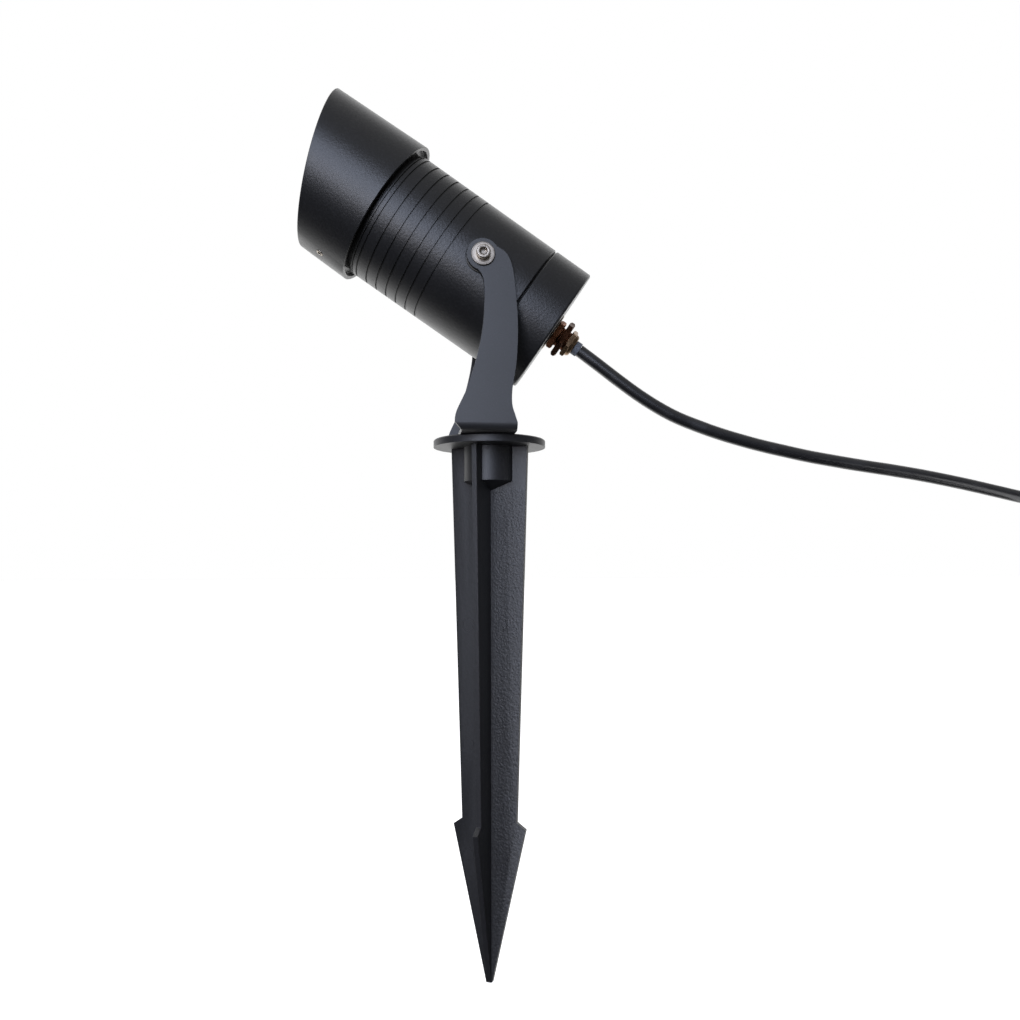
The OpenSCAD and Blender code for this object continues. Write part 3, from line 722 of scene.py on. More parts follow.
class SPIKE_OT_stage(bpy.types.Operator):
    """Sets up the camera, the paper floor, the lead's stand and the soft light"""

    bl_idname = "spike_light.stage"
    bl_label = "Studio"

    def execute(self, context):
        look = settings().studio
        paper = studio_paper("studio_paper", tuple(look.paper))
        self.camera(look)
        self.floor(paper)
        self.stand(paper)
        for name, place, size, power, rgb in SOFT_BOXES:
            self.soft_light(name, place, size, getattr(look, power), rgb)
        self.daylight(look)
        return {"FINISHED"}

    def camera(self, look):
        deselect()
        turn = tuple(math.radians(angle) for angle in CAMERA_TURN)
        bpy.ops.object.camera_add(location=CAMERA_PLACE, rotation=turn)
        camera = bpy.context.object
        camera.data.lens = look.lens_mm
        camera.data.sensor_width = SENSOR_MM
        camera.data.clip_start = 0.01
        bpy.context.scene.camera = camera

    def floor(self, paper):
        """The wide paper floor that the stake's tip stands on."""
        deselect()
        bpy.ops.mesh.primitive_plane_add(size=FLOOR_SIZE, location=(0, 0, TIP))
        floor = settle(started("paper_floor"), WORLD)
        floor.data.materials.append(paper)
        floor.visible_diffuse = floor.visible_glossy = floor.visible_shadow = False
        floor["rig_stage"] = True

    def stand(self, paper):
        """The small table that the coil and the plug lie on, beside the camera's view."""
        deselect()
        bpy.ops.mesh.primitive_cube_add(size=1, location=(0, 0, 0))
        stand = started("lead_stand")
        stand.scale = STAND_SIZE
        stand.rotation_euler.z = STAND_TURN
        centre = middle("cord_coil") + STAND_SHIFT
        centre.z = LEAD_GROUND - STAND_SIZE[2] / 2
        stand.location = centre
        settle(stand, WORLD)
        bpy.ops.mesh.primitive_cylinder_add(
            radius=STAND_POST, depth=centre.z - TIP, vertices=48,
            location=(centre.x, centre.y, (centre.z + TIP) / 2))
        combine(stand, settle(started("stand_post"), WORLD), "UNION")
        apply_modifier(stand, "BEVEL", width=STAND_EDGE, segments=3)
        stand.data.materials.append(paper)
        stand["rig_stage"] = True

    def soft_light(self, name, place, size, power, rgb):
        """A square soft box that faces the lamp head."""
        deselect()
        bpy.ops.object.light_add(type="AREA", location=place)
        lamp = bpy.context.object
        lamp.name = lamp.data.name = name
        lamp.data.size = size
        lamp.data.energy = power
        lamp.data.color = rgb
        aim = LIGHTS_AIM - Vector(place)
        lamp.rotation_euler = aim.to_track_quat("-Z", "Y").to_euler()

    def daylight(self, look):
        """White to the camera. As a light, a bright wall behind a dark room."""
        world = bpy.data.worlds.new("studio_room")
        bpy.context.scene.world = world
        world.use_nodes = True
        nodes, links = world.node_tree.nodes, world.node_tree.links
        place = nodes.new("ShaderNodeTexCoord")
        split = nodes.new("ShaderNodeSeparateXYZ")
        links.new(place.outputs["Generated"], split.inputs[0])
        light = nodes.new("ShaderNodeMath")
        for slot, (axis, span, strength) in enumerate((
                ("Y", WALL_FADE, (0.0, look.wall_strength)),
                ("Z", CEILING_FADE, (ROOM_GLOW, look.ceiling_strength)))):
            fade = nodes.new("ShaderNodeMapRange")
            fade.interpolation_type = "SMOOTHSTEP"
            fade.inputs["From Min"].default_value, fade.inputs["From Max"].default_value = span
            fade.inputs["To Min"].default_value, fade.inputs["To Max"].default_value = strength
            links.new(split.outputs[axis], fade.inputs["Value"])
            links.new(fade.outputs["Result"], light.inputs[slot])
        seen = nodes.new("ShaderNodeLightPath")
        strength = nodes.new("ShaderNodeMix")
        strength.inputs["B"].default_value = 1.0
        links.new(light.outputs[0], strength.inputs["A"])
        links.new(seen.outputs["Is Camera Ray"], strength.inputs["Factor"])
        links.new(strength.outputs["Result"], nodes["Background"].inputs["Strength"])
        nodes["Background"].inputs["Color"].default_value = (1, 1, 1, 1)
        bpy.context.scene.view_settings.view_transform = "Standard"


# ---------------------------------------------------------- lead and its plug

# The lead's route from the gland to the coil, and from the coil to the plug, in metres
LEAD_ROUTE = [
    (0.0494, 0, 0.0544), (0.060, 0, 0.0466), (0.071, 0, 0.0384), (0.082, 0, 0.0306),
    (0.093, 0, 0.0238), (0.104, 0, 0.0182), (0.116, 0, 0.0136), (0.128, 0, 0.0096),
    (0.140, 0, 0.0062), (0.152, 0, 0.0032), (0.166, 0, 0.0002), (0.180, 0, -0.0026),
    (0.196, 0, -0.0052), (0.212, 0, -0.0076), (0.228, 0, -0.0098), (0.244, 0, -0.0122),
    (0.260, 0, -0.0150), (0.276, 0, -0.0181), (0.292, 0, -0.0215), (0.306, 0, -0.0245),
    (0.320, 0, -0.0272), (0.331, 0, -0.0292), (0.342, 0, -0.0302),
]
TAIL_ROUTE = [(0.342, -0.094, -0.0232), (0.329, -0.094, -0.0230)]
COIL_STEPS = 24


def coil_route():
    """Two turns inwards, half a turn up on the inside and two turns outwards on top."""
    lead = settings().lead
    centre = middle("cord_coil")
    inner, outer = lead.coil_r - lead.diameter, lead.coil_r + lead.diameter
    low = LEAD_GROUND + lead.diameter / 2
    points = []
    for step in range(int(4.5 * COIL_STEPS) + 1):
        turn = step / COIL_STEPS
        climb = min(max((turn - 2) / 0.5, 0), 1)
        dip = 0.0012 * math.sin(math.pi * climb)
        if turn < 2.25:
            radius = max(inner, outer - lead.diameter * turn) - dip
        else:
            radius = max(inner, inner + lead.diameter * (turn - 2.5)) - dip
        rise = climb * climb * (3 - 2 * climb) * lead.diameter
        angle = math.pi / 2 - math.tau * turn
        points.append((
            centre.x + radius * math.cos(angle), centre.y + radius * math.sin(angle), low + rise))
    return points


def smooth_route(points, steps=4):
    """A smooth curve through all points."""
    route = [Vector(point) for point in points]
    padded = [route[0], *route, route[-1]]
    smooth = []
    for a, b, c, d in zip(padded, padded[1:], padded[2:], padded[3:]):
        for step in range(steps):
            t = step / steps
            smooth.append(
                b + (c - a) * (t / 2) + (2 * a - 5 * b + 4 * c - d) * (t * t / 2)
                + (3 * b - a - 3 * c + d) * (t ** 3 / 2))
    return smooth + [route[-1]]


def tube(name, route, radius):
    """A round tube along a route, with a UV map "lead" that runs along it."""
    line = bpy.data.curves.new(name, "CURVE")
    line.dimensions = "3D"
    line.bevel_depth = radius
    line.bevel_resolution = 5
    line.use_fill_caps = True
    spline = line.splines.new("POLY")
    spline.points.add(len(route) - 1)
    spline.points.foreach_set("co", [value for point in route for value in (*point, 1)])
    piece = bpy.data.objects.new(name, line)
    bpy.context.scene.collection.objects.link(piece)
    pick(piece)
    bpy.ops.object.convert(target="MESH")
    piece = bpy.context.object
    along = sum((b - a).length for a, b in zip(route, route[1:]))
    if not piece.data.uv_layers:
        piece.data.uv_layers.new(name="lead")
    piece.data.uv_layers[0].name = "lead"
    reach = along / (40 * radius)
    for loop in piece.data.uv_layers[0].data:
        loop.uv = (loop.uv.x * reach, loop.uv.y)
    bpy.ops.object.shade_smooth_by_angle(angle=math.radians(50))
    return piece


class SPIKE_OT_lead(bpy.types.Operator):
    """Lays the rubber lead from the gland to the coil and the plug"""

    bl_idname = "spike_light.lead"
    bl_label = "Lead"

    def execute(self, context):
        diameter = settings().lead.diameter
        route = smooth_route(LEAD_ROUTE + coil_route() + TAIL_ROUTE)
        lead = tube("rubber_lead", route, diameter / 2)
        lead.data.materials.clear()
        lead.data.materials.append(finish_of("lead_rubber"))
        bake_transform(lead)
        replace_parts(lead, "cord_lead", "cord_coil", "cord_tail")
        along = sum((b - a).length for a, b in zip(route, route[1:]))
        plug_body()
        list(plug_pins())
        coil_tie()
        return {"FINISHED"}


PLUG_LOW, PLUG_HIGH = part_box("plug_body")
PLUG_MIDDLE = (PLUG_LOW + PLUG_HIGH) / 2
RELIEF_LENGTH = 26


def plug_body():
    """The moulded plug: a waisted flat body with finger grooves and a ribbed relief."""
    deselect()
    length_x = PLUG_HIGH.x - RELIEF_LENGTH * MM - PLUG_LOW.x
    size = Vector((length_x, PLUG_HIGH.y - PLUG_LOW.y, PLUG_HIGH.z - PLUG_LOW.z))
    bpy.ops.mesh.primitive_cube_add(
        size=1, location=(PLUG_LOW.x + length_x / 2, PLUG_MIDDLE.y, PLUG_MIDDLE.z), scale=size)
    body = settle(started("moulded_plug"), WORLD)
    with editing(body):
        bpy.ops.mesh.subdivide(number_cuts=7)
    for point in body.data.vertices:
        along = (point.co.x - PLUG_LOW.x) / length_x
        waist = 1 - 0.16 * math.sin(math.pi * min(1, max(0, along - 0.15) / 0.85)) ** 2 - 0.10 * along ** 3
        shoulder = 1 - 0.30 * max(0, along - 0.45) ** 1.5
        point.co.y = PLUG_MIDDLE.y + (point.co.y - PLUG_MIDDLE.y) * waist
        point.co.z = PLUG_MIDDLE.z + (point.co.z - PLUG_MIDDLE.z) * shoulder
    apply_modifier(
        body, "BEVEL", width=5.5 * MM, segments=6, limit_method="ANGLE", angle_limit=math.radians(50))
    relief = turned("relief", relief_profile(), steps=64)
    settle(relief, Matrix.Translation((PLUG_LOW.x + length_x, PLUG_MIDDLE.y, PLUG_MIDDLE.z))
           @ Matrix.Rotation(math.pi / 2, 4, "Y"))
    combine(body, relief, "UNION")
    for side in (-1, 1):
        for groove in range(4):
            cutter = cylinder("cutter", 1.1, -6, 6, vertices=24)
            place = Vector((PLUG_LOW.x + (13 + 3.6 * groove) * MM,
                            PLUG_MIDDLE.y + side * size.y * 0.447, PLUG_MIDDLE.z))
            combine(body, settle(cutter, Matrix.Translation(place)), "DIFFERENCE")
    soften(body, 0.35 * MM, sharper_than=35)
    return fitted(body, "bracket", "plug_body")


def relief_profile():
    """Outline of the tapered strain relief, with flexible ribs round it."""
    ribs = settings().lead.relief_ribs
    outline = [(0, -2), (7.2, -2), (7.2, 1.5)]
    pitch = (RELIEF_LENGTH - 6) / ribs
    for rib in range(ribs):
        start = 3 + rib * pitch
        outer = 6.5 - 1.4 * rib / ribs
        outline += [(outer - 1.1, start), (outer - 1.1, start + pitch * 0.4),
                    (outer, start + pitch * 0.45), (outer, start + pitch * 0.95)]
    return outline + [(4.3, RELIEF_LENGTH - 2.5), (4.3, RELIEF_LENGTH - 0.4),
                      (3.9, RELIEF_LENGTH), (0, RELIEF_LENGTH)]


def plug_pins():
    """Two round pins with rounded tips."""
    low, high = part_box("plug_pins")
    reach = (PLUG_LOW.x - low.x) / MM
    profile = [(0, -3), (2.4, -3), (2.4, reach - 1.4), *arc((1.0, reach - 1.4), 1.4, 0, 90, 6), (0, reach)]
    pin = turned("near_pin", profile, steps=48)
    apart = (high.y - low.y) / 2 - 2.4 * MM
    facing = Matrix.Rotation(-math.pi / 2, 4, "Y")
    places = [Matrix.Translation((PLUG_LOW.x, PLUG_MIDDLE.y + offset, PLUG_MIDDLE.z)) @ facing
              for offset in (-apart, apart)]
    twin = copied(pin, "far_pin", places[1])
    settle(pin, places[0])
    for piece in (pin, twin):
        soften(piece, 0.1 * MM)
    shared([pin, twin], "bracket", "plug_pins")
    return [pin, twin]


def coil_tie():
    """The hook-and-loop tie: a strap round the coil."""
    low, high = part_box("cord_tie")
    centre = (low + high) / 2
    half_w, half_h = (high.x - low.x) / 2, (high.z - low.z) / 2
    deselect()
    bpy.ops.mesh.primitive_circle_add(vertices=64, radius=1, location=(0, 0, 0))
    tie = started("hook_tape_tie")
    for point in tie.data.vertices:
        x, y = point.co.x, point.co.y
        blunt = (x ** 4 + y ** 4) ** 0.25
        point.co = (centre.x + x / blunt * half_w, low.y, centre.z + y / blunt * half_h)
    with editing(tie):
        bpy.ops.mesh.extrude_region_move(TRANSFORM_OT_translate={"value": (0, high.y - low.y, 0)})
    tidy_mesh(tie)
    apply_modifier(tie, "SOLIDIFY", thickness=0.9 * MM, offset=-1)
    soften(tie, 0.2 * MM)
    return fitted(tie, "bracket", "cord_tie")


# ---------------------------------------------------------------- lamp head

HOUSING_R = 36.0
SPIGOT_R = 35.0
SPIGOT_FRONT = 84.0
HOUSING_REAR = -27.2
HOUSING_FRONT = 57.4
GROOVES = 7
GROOVE_FIRST = 53.8
GROOVE_PITCH = 6.27
HOOD_R = 40.8
HOOD_TAPER = 0.027
HOOD_WALL = 2.0
HOOD_REAR = 59.0
HOOD_TOP = 115.3
HOOD_BOTTOM = 88.0
HOOD_BLANK = 120
HOOD_SEAT = (62, 84.4)
HOOD_LIP = 2.2
GRUB_STATION = 74.0
GRUB_TURN = 10
GRUB_R = 1.95
GRUB_LENGTH = 5.0
GRUB_STAND = 0.3
GRUB_SOCKET_R = 1.15
CAP_REAR = -50.2
CAP_FRONT = -28.0
CAP_FLOOR = 4
CAP_SKIRT_R = 32.4
CAP_SKIRT_FRONT = -19.5
CAP_BORE = 28.5
SEAL_BED = (-25, -22.4)
SEAL_BED_R = 30.4
SEAL_PLACE = (31.45, -23.7)
SEAL_R = 1.03
CHAMBER_R = 32.5
BULKHEAD = (12, 20)
LIGHT_BORE = 31.5
GLASS_BORE = 33.1
GLASS_SEAT = 74
LIP_GROOVE = 56.5
GLASS_R = 33
GLASS = (77, 81)
GASKET_REAR = 75.5
CLEAR_R = 30
RING_FRONT = 84
GEL = (22.6, 22.9, 23)
GEL_R = 7.3


def hood_radius(station):
    """The hood's outer radius, which shrinks a little towards its front."""
    return HOOD_R - HOOD_TAPER * (station - HOOD_REAR)


class SPIKE_OT_hood(bpy.types.Operator):
    """Turns the glare hood, cuts it at a slant and drills it for its grub screw"""

    bl_idname = "spike_light.hood"
    bl_label = "Glare hood"

    def execute(self, context):
        seat_rear, seat_front = HOOD_SEAT
        hood = turned("glare_hood", [
            (SPIGOT_R + 0.05, seat_rear), (SPIGOT_R + 0.05, seat_front),
            (hood_radius(seat_front) - HOOD_WALL, seat_front),
            (hood_radius(HOOD_BLANK) - HOOD_WALL, HOOD_BLANK), (hood_radius(HOOD_BLANK), HOOD_BLANK),
            (HOOD_R, HOOD_REAR), (HOOD_R - HOOD_LIP, HOOD_REAR), (HOOD_R - HOOD_LIP, seat_rear)])
        top_radius = hood_radius(HOOD_TOP)
        slant = math.atan2(HOOD_TOP - HOOD_BOTTOM, top_radius + hood_radius(HOOD_BOTTOM))
        with editing(hood):
            bpy.ops.mesh.bisect(
                plane_co=Vector((top_radius, 0, HOOD_TOP)) * MM,
                plane_no=(-math.sin(slant), 0, math.cos(slant)), clear_outer=True, clear_inner=False)
            bpy.ops.mesh.select_all(action="DESELECT")
            bpy.ops.mesh.select_non_manifold()
            bpy.ops.mesh.bridge_edge_loops()
        tidy_mesh(hood)
        soften(hood, settings().lamp.coat_edge, segments=3)
        hole = cylinder("hole", GRUB_R + 0.1, -GRUB_LENGTH - 0.6, 1, vertices=40)
        rim = Vector((-hood_radius(GRUB_STATION), 0, GRUB_STATION)) * MM
        around = Matrix.Rotation(math.radians(GRUB_TURN), 4, "Z")
        place = around @ Matrix.Translation(rim) @ Matrix.Rotation(math.radians(-90), 4, "Y")
        combine(hood, settle(hole, place), "DIFFERENCE")
        fitted(settle(hood, HEAD), "lamp_head", "anti_glare_hood")
        self.grub_screw(HEAD @ place)
        return {"FINISHED"}

    def grub_screw(self, place):
        """The socket screw, which stands a little proud of the hood's surface."""
        screw = turned("grub_screw", [
            (0, -GRUB_LENGTH), (GRUB_R - 0.45, -GRUB_LENGTH), (GRUB_R, 0.5 - GRUB_LENGTH), (GRUB_R, 0),
            (GRUB_R - 0.25, GRUB_STAND), (0, GRUB_STAND)], steps=48)
        socket = cylinder("socket", GRUB_SOCKET_R, -2.2, 1, vertices=6)
        combine(screw, socket, "DIFFERENCE")
        soften(screw, 0.05 * MM)
        fitted(settle(screw, place), "lamp_head", "hood_grub_screw")


class SPIKE_OT_housing(bpy.types.Operator):
    """Turns the grooved housing and the threaded rear cap"""

    bl_idname = "spike_light.housing"
    bl_label = "Housing and rear cap"

    def execute(self, context):
        self.housing()
        self.rear_cap()
        turned_piece(
            "rear_cap_o_ring", "rear_cap_seal", arc(SEAL_PLACE, SEAL_R, 0, 345, 22), 0.05 * MM, steps=96)
        return {"FINISHED"}

    def housing(self):
        floor_rear, floor_front = BULKHEAD
        outline = [(0, floor_rear), (CHAMBER_R, floor_rear), (CHAMBER_R, HOUSING_REAR),
                   (HOUSING_R - 0.5, HOUSING_REAR), (HOUSING_R, HOUSING_REAR + 0.5)]
        for groove in reversed(range(GROOVES)):
            station = GROOVE_FIRST - groove * GROOVE_PITCH
            outline += self.groove(station, 1.0, 0.8)
        outline += self.groove(LIP_GROOVE, 0.6, 0.8)
        outline += [(HOUSING_R, HOUSING_FRONT), (SPIGOT_R, HOUSING_FRONT), (SPIGOT_R, SPIGOT_FRONT),
                    (GLASS_BORE, SPIGOT_FRONT), (GLASS_BORE, GLASS_SEAT), (LIGHT_BORE, GLASS_SEAT),
                    (LIGHT_BORE, floor_front), (0, floor_front)]
        housing = turned("grooved_housing", outline)
        for _, place in both_sides():
            for name, radius, depth in (("flat", SPOT_FACE_R, FACE_Y), ("bore", SCREW_R, SCREW_END + 3)):
                cutter = cylinder(name, radius, depth, HOUSING_R + 2)
                combine(housing, settle(cutter, HEAD.inverted() @ place), "DIFFERENCE")
        soften(housing, settings().lamp.groove_edge, sharper_than=35)
        fitted(settle(housing, HEAD), "lamp_head", "lamp_housing")

    def groove(self, station, width, depth):
        """A square groove in the profile."""
        return [(HOUSING_R, station - width / 2), (HOUSING_R - depth, station - width / 2),
                (HOUSING_R - depth, station + width / 2), (HOUSING_R, station + width / 2)]

    def rear_cap(self):
        bed_rear, bed_front = SEAL_BED
        turned_piece("threaded_rear_cap", "rear_cap", [
            (SHANK_R, CAP_REAR), *arc((HOUSING_R - 1.2, CAP_REAR + 1.2), 1.2, -90, 0, 5),
            (HOUSING_R, CAP_FRONT - 0.5), (HOUSING_R - 0.5, CAP_FRONT), (CAP_SKIRT_R, CAP_FRONT),
            (CAP_SKIRT_R, bed_rear), (SEAL_BED_R, bed_rear), (SEAL_BED_R, bed_front),
            (CAP_SKIRT_R, bed_front), (CAP_SKIRT_R, CAP_SKIRT_FRONT), (CAP_BORE, CAP_SKIRT_FRONT),
            (CAP_BORE, CAP_REAR + CAP_FLOOR), (SHANK_R, CAP_REAR + CAP_FLOOR),
        ], settings().lamp.groove_edge, sharper_than=25)


class SPIKE_OT_optics(bpy.types.Operator):
    """Makes the glass, its ring and gasket, the reflector and the light source"""

    bl_idname = "spike_light.optics"
    bl_label = "Glass and light source"

    def execute(self, context):
        rear, front = GLASS
        turned_piece("glass_pane", "front_glass", [
            (0, rear), (GLASS_R - 0.4, rear), (GLASS_R, rear + 0.4), (GLASS_R, front - 0.4),
            (GLASS_R - 0.4, front), (0, front)], 0.12 * MM)
        turned_piece("flat_gasket", "glass_gasket", [
            (CLEAR_R, GASKET_REAR), (GLASS_R, GASKET_REAR), (GLASS_R, rear), (CLEAR_R, rear)], 0.2 * MM)
        turned_piece("faceted_reflector", "reflector", self.bowl_outline(), 0.15 * MM)
        base, brim, top = GEL
        crown = GEL_R - 0.2
        turned_piece("phosphor_dome", "cob_phosphor", [(0, base), (GEL_R, base), (crown, brim), *[
            (crown * math.cos(a), brim + (top - brim) * math.sin(a)) for a in (0.4, 0.8, 1.2)],
            (0, top)], 0.05 * MM, steps=96)
        self.ring()
        self.source()
        return {"FINISHED"}

    def ring(self):
        """The screwed ring that holds the glass, with two spanner notches."""
        rear, front = GLASS[1], RING_FRONT
        ring = turned("notched_ring", [
            (CLEAR_R, rear), (GLASS_R, rear), (GLASS_R, front), (CLEAR_R + 0.6, front),
            (CLEAR_R, front - 0.6)])
        for turn in (0, math.pi):
            deselect()
            bpy.ops.mesh.primitive_cube_add(
                size=1, location=(CLEAR_R * MM * math.cos(turn), 0, front * MM),
                scale=(3.6 * MM, 2.4 * MM, 2.4 * MM))
            combine(ring, settle(started("notch"), WORLD), "DIFFERENCE")
        soften(ring, 0.15 * MM, sharper_than=40)
        fitted(settle(ring, HEAD), "lamp_head", "retaining_ring")

    def bowl_outline(self):
        """Both walls of the parabolic bowl and the flange at its mouth."""
        neck, mouth, wall, rear, front = 8.2, 29.3, 1.2, GEL[0], GASKET_REAR
        steps = 24
        inner = [
            (math.sqrt(neck ** 2 + (mouth ** 2 - neck ** 2) * i / steps), rear + (front - rear) * i / steps)
            for i in range(steps + 1)]
        outer = [(radius + wall, station) for radius, station in inner if station < front - 2]
        return inner + [
            (GLASS_R, front), (GLASS_R, front - 1.5), (mouth + wall, front - 1.5)] + outer[::-1]

    def source(self):
        """The white ceramic base of the light source with its two solder pads."""
        base = refined("cob_base", "chip_base")
        apply_modifier(base, "BEVEL", width=0.9 * MM, segments=3, limit_method="ANGLE")
        soften(base, 0.1 * MM, sharper_than=50)
        fitted(base, "lamp_head", "cob_base")


# -------------------------------------------------------------------- gland

# Stations of the gland's pieces on the head's axis, each from its rear to its front
INNER_NUT = (-46.2, -43.0)
GLAND_WASHER = (-50.9, CAP_REAR)
GLAND_HEXAGON = (-54.3, -50.9)
LOCK_NUT = (-58.6, -55.4)
CAP_HEXAGON = (-62.4, -59.6)
CAP_DOME = (-64.4, -62.2)
GLAND_TAIL = -61.1
SHANK_FRONT = -41.7
SLEEVE_REAR = -67.8
SHANK_R = 6
TAIL_R = 5.6
GLAND_BORE = 3.6
SLEEVE_R = 3.95
GLAND_WASHER_R = 10.6


def nut(name, flats, low, high, bore=None):
    """A hexagonal nut with its corners chamfered on both faces."""
    corner = flats / math.sqrt(3)
    face = flats / 2 * 0.98
    drop = (corner + 0.1 - face) * math.tan(math.radians(28))
    body = cylinder(name, corner, low, high, vertices=6)
    chamfer = turned("chamfer", [
        (0, low), (face, low), (corner + 0.1, low + drop), (corner + 0.1, high - drop),
        (face, high), (0, high)], steps=96)
    combine(body, chamfer, "INTERSECT")
    if bore:
        combine(body, cylinder("bore", bore, low - 1, high + 1), "DIFFERENCE")
    soften(body, settings().lamp.metal_edge, sharper_than=20)
    return body


def thread(name, radius, bore, low, high, pitch=0.75):
    """A threaded tube, its thread cut as close rings."""
    turns = max(1, round((high - low) / pitch))
    step = (high - low) / turns
    ridge = 0.36 * step
    outline = [(bore, high), (bore, low)]
    for turn in range(turns):
        outline += [(radius - ridge, low + step * turn + 0.001), (radius, low + step * (turn + 0.5))]
    return turned(name, outline + [(radius - ridge, high)], steps=72)


class SPIKE_OT_gland(bpy.types.Operator):
    """Makes the brass cable gland with its nuts, washer and rubber sleeve"""

    bl_idname = "spike_light.gland"
    bl_label = "Cable gland"

    def execute(self, context):
        self.body()
        for piece, node in (
                (nut("gland_lock_nut", 19, *LOCK_NUT, TAIL_R), "gland_jam_nut"),
                (nut("gland_back_nut", 16, *INNER_NUT, SHANK_R), "gland_inner_nut"),
                (self.cap_nut(), "gland_cap_nut")):
            fitted(settle(piece, HEAD), "lamp_head", node)
        low, high = GLAND_WASHER
        turned_piece("gland_flat_washer", "gland_washer", [
            (SHANK_R, low), (GLAND_WASHER_R, low), (GLAND_WASHER_R, high), (SHANK_R, high),
        ], 0.12 * MM, steps=96)
        turned_piece("gland_grip_sleeve", "gland_sleeve", [
            (GLAND_BORE, GLAND_TAIL), (GLAND_BORE, SLEEVE_REAR), (SLEEVE_R - 0.2, SLEEVE_REAR),
            (SLEEVE_R, SLEEVE_REAR + 0.3), (SLEEVE_R, GLAND_TAIL)], 0.05 * MM, steps=72)
        return {"FINISHED"}

    def body(self):
        """The hexagon against the washer, with the thread on both sides of it."""
        rear, front = GLAND_HEXAGON
        head = nut("gland_hexagon", 15, rear, front, GLAND_BORE)
        for piece in (thread("gland_shank", SHANK_R, GLAND_BORE, front, SHANK_FRONT),
                      thread("gland_thread", TAIL_R, GLAND_BORE, GLAND_TAIL, rear)):
            soften(piece, 0.04 * MM, segments=1)
            hand_over(settle(piece, HEAD), finish_of("gland_brass"), "gland_brass", "lamp_head")
        fitted(settle(head, HEAD), "lamp_head", "gland_body")

    def cap_nut(self):
        """The compression nut with its rounded cap."""
        cap = nut("gland_cap_hexagon", 14, *CAP_HEXAGON)
        rear, front = CAP_DOME
        dome = turned("dome", [
            (0, rear), (4.6, rear), *arc((4.6, rear + 1.8), 1.8, -80, 0, 5), (6.5, front),
            (0, front)], steps=72)
        combine(cap, dome, "UNION")
        combine(cap, cylinder("bore", SLEEVE_R, rear - 0.6, GLAND_TAIL + 0.1), "DIFFERENCE")
        combine(cap, cylinder("bore", TAIL_R, GLAND_TAIL, CAP_HEXAGON[1] + 0.6), "DIFFERENCE")
        soften(cap, 0.1 * MM, sharper_than=35)
        return cap


# -------------------------------------------------------- bracket and screws

# Distances from the head's axis along the tilt joint, and radii
FACE_Y = 35
SPOT_FACE_R = 8.6
SCREW_R = 2
SCREW_END = 27
DISC_OUT = 36.95
ARM_OUT = 40.05
WASHER_OUT = 41.05
SPRING_OUT = 42.05
SCREW_HEAD_R = 3.5
SCREW_TOP = 44.85
SOCKET_FLATS = 3
SOCKET_FLOOR = 42.65
WASHER_BORE = 2.1


class SPIKE_OT_bracket(bpy.types.Operator):
    """Rounds the bent sheet bracket's cut edges"""

    bl_idname = "spike_light.bracket"
    bl_label = "Bracket"

    def execute(self, context):
        bracket = refined("yoke_bracket", "bent_bracket")
        soften(bracket, settings().lamp.sheet_edge, segments=3, sharper_than=40)
        fitted(bracket, "bracket", "yoke_bracket")
        return {"FINISHED"}


def washer_profile(inner, outer, low, high, crown):
    """A pressed washer: one edge rounded by the punch, the other nearly sharp."""
    return [(inner, low), (outer, low), *arc((outer - crown, high - crown), crown, 0, 90, 4),
            (inner + crown, high), (inner, high - crown)]


def split_washer(name, inner, outer, low, high):
    """A spring washer with its slanted gap."""
    washer = turned(name, washer_profile(inner, outer, low, high, 0.2), steps=72)
    deselect()
    bpy.ops.mesh.primitive_cube_add(
        size=1, location=(outer * MM, 0, (low + high) / 2 * MM), rotation=(math.radians(25), 0, 0),
        scale=((2 * (outer - inner) + 1) * MM, 0.5 * (high - low) * MM, 3 * (high - low) * MM))
    combine(washer, settle(started("gap"), WORLD), "DIFFERENCE")
    soften(washer, 0.08 * MM, sharper_than=40)
    return washer


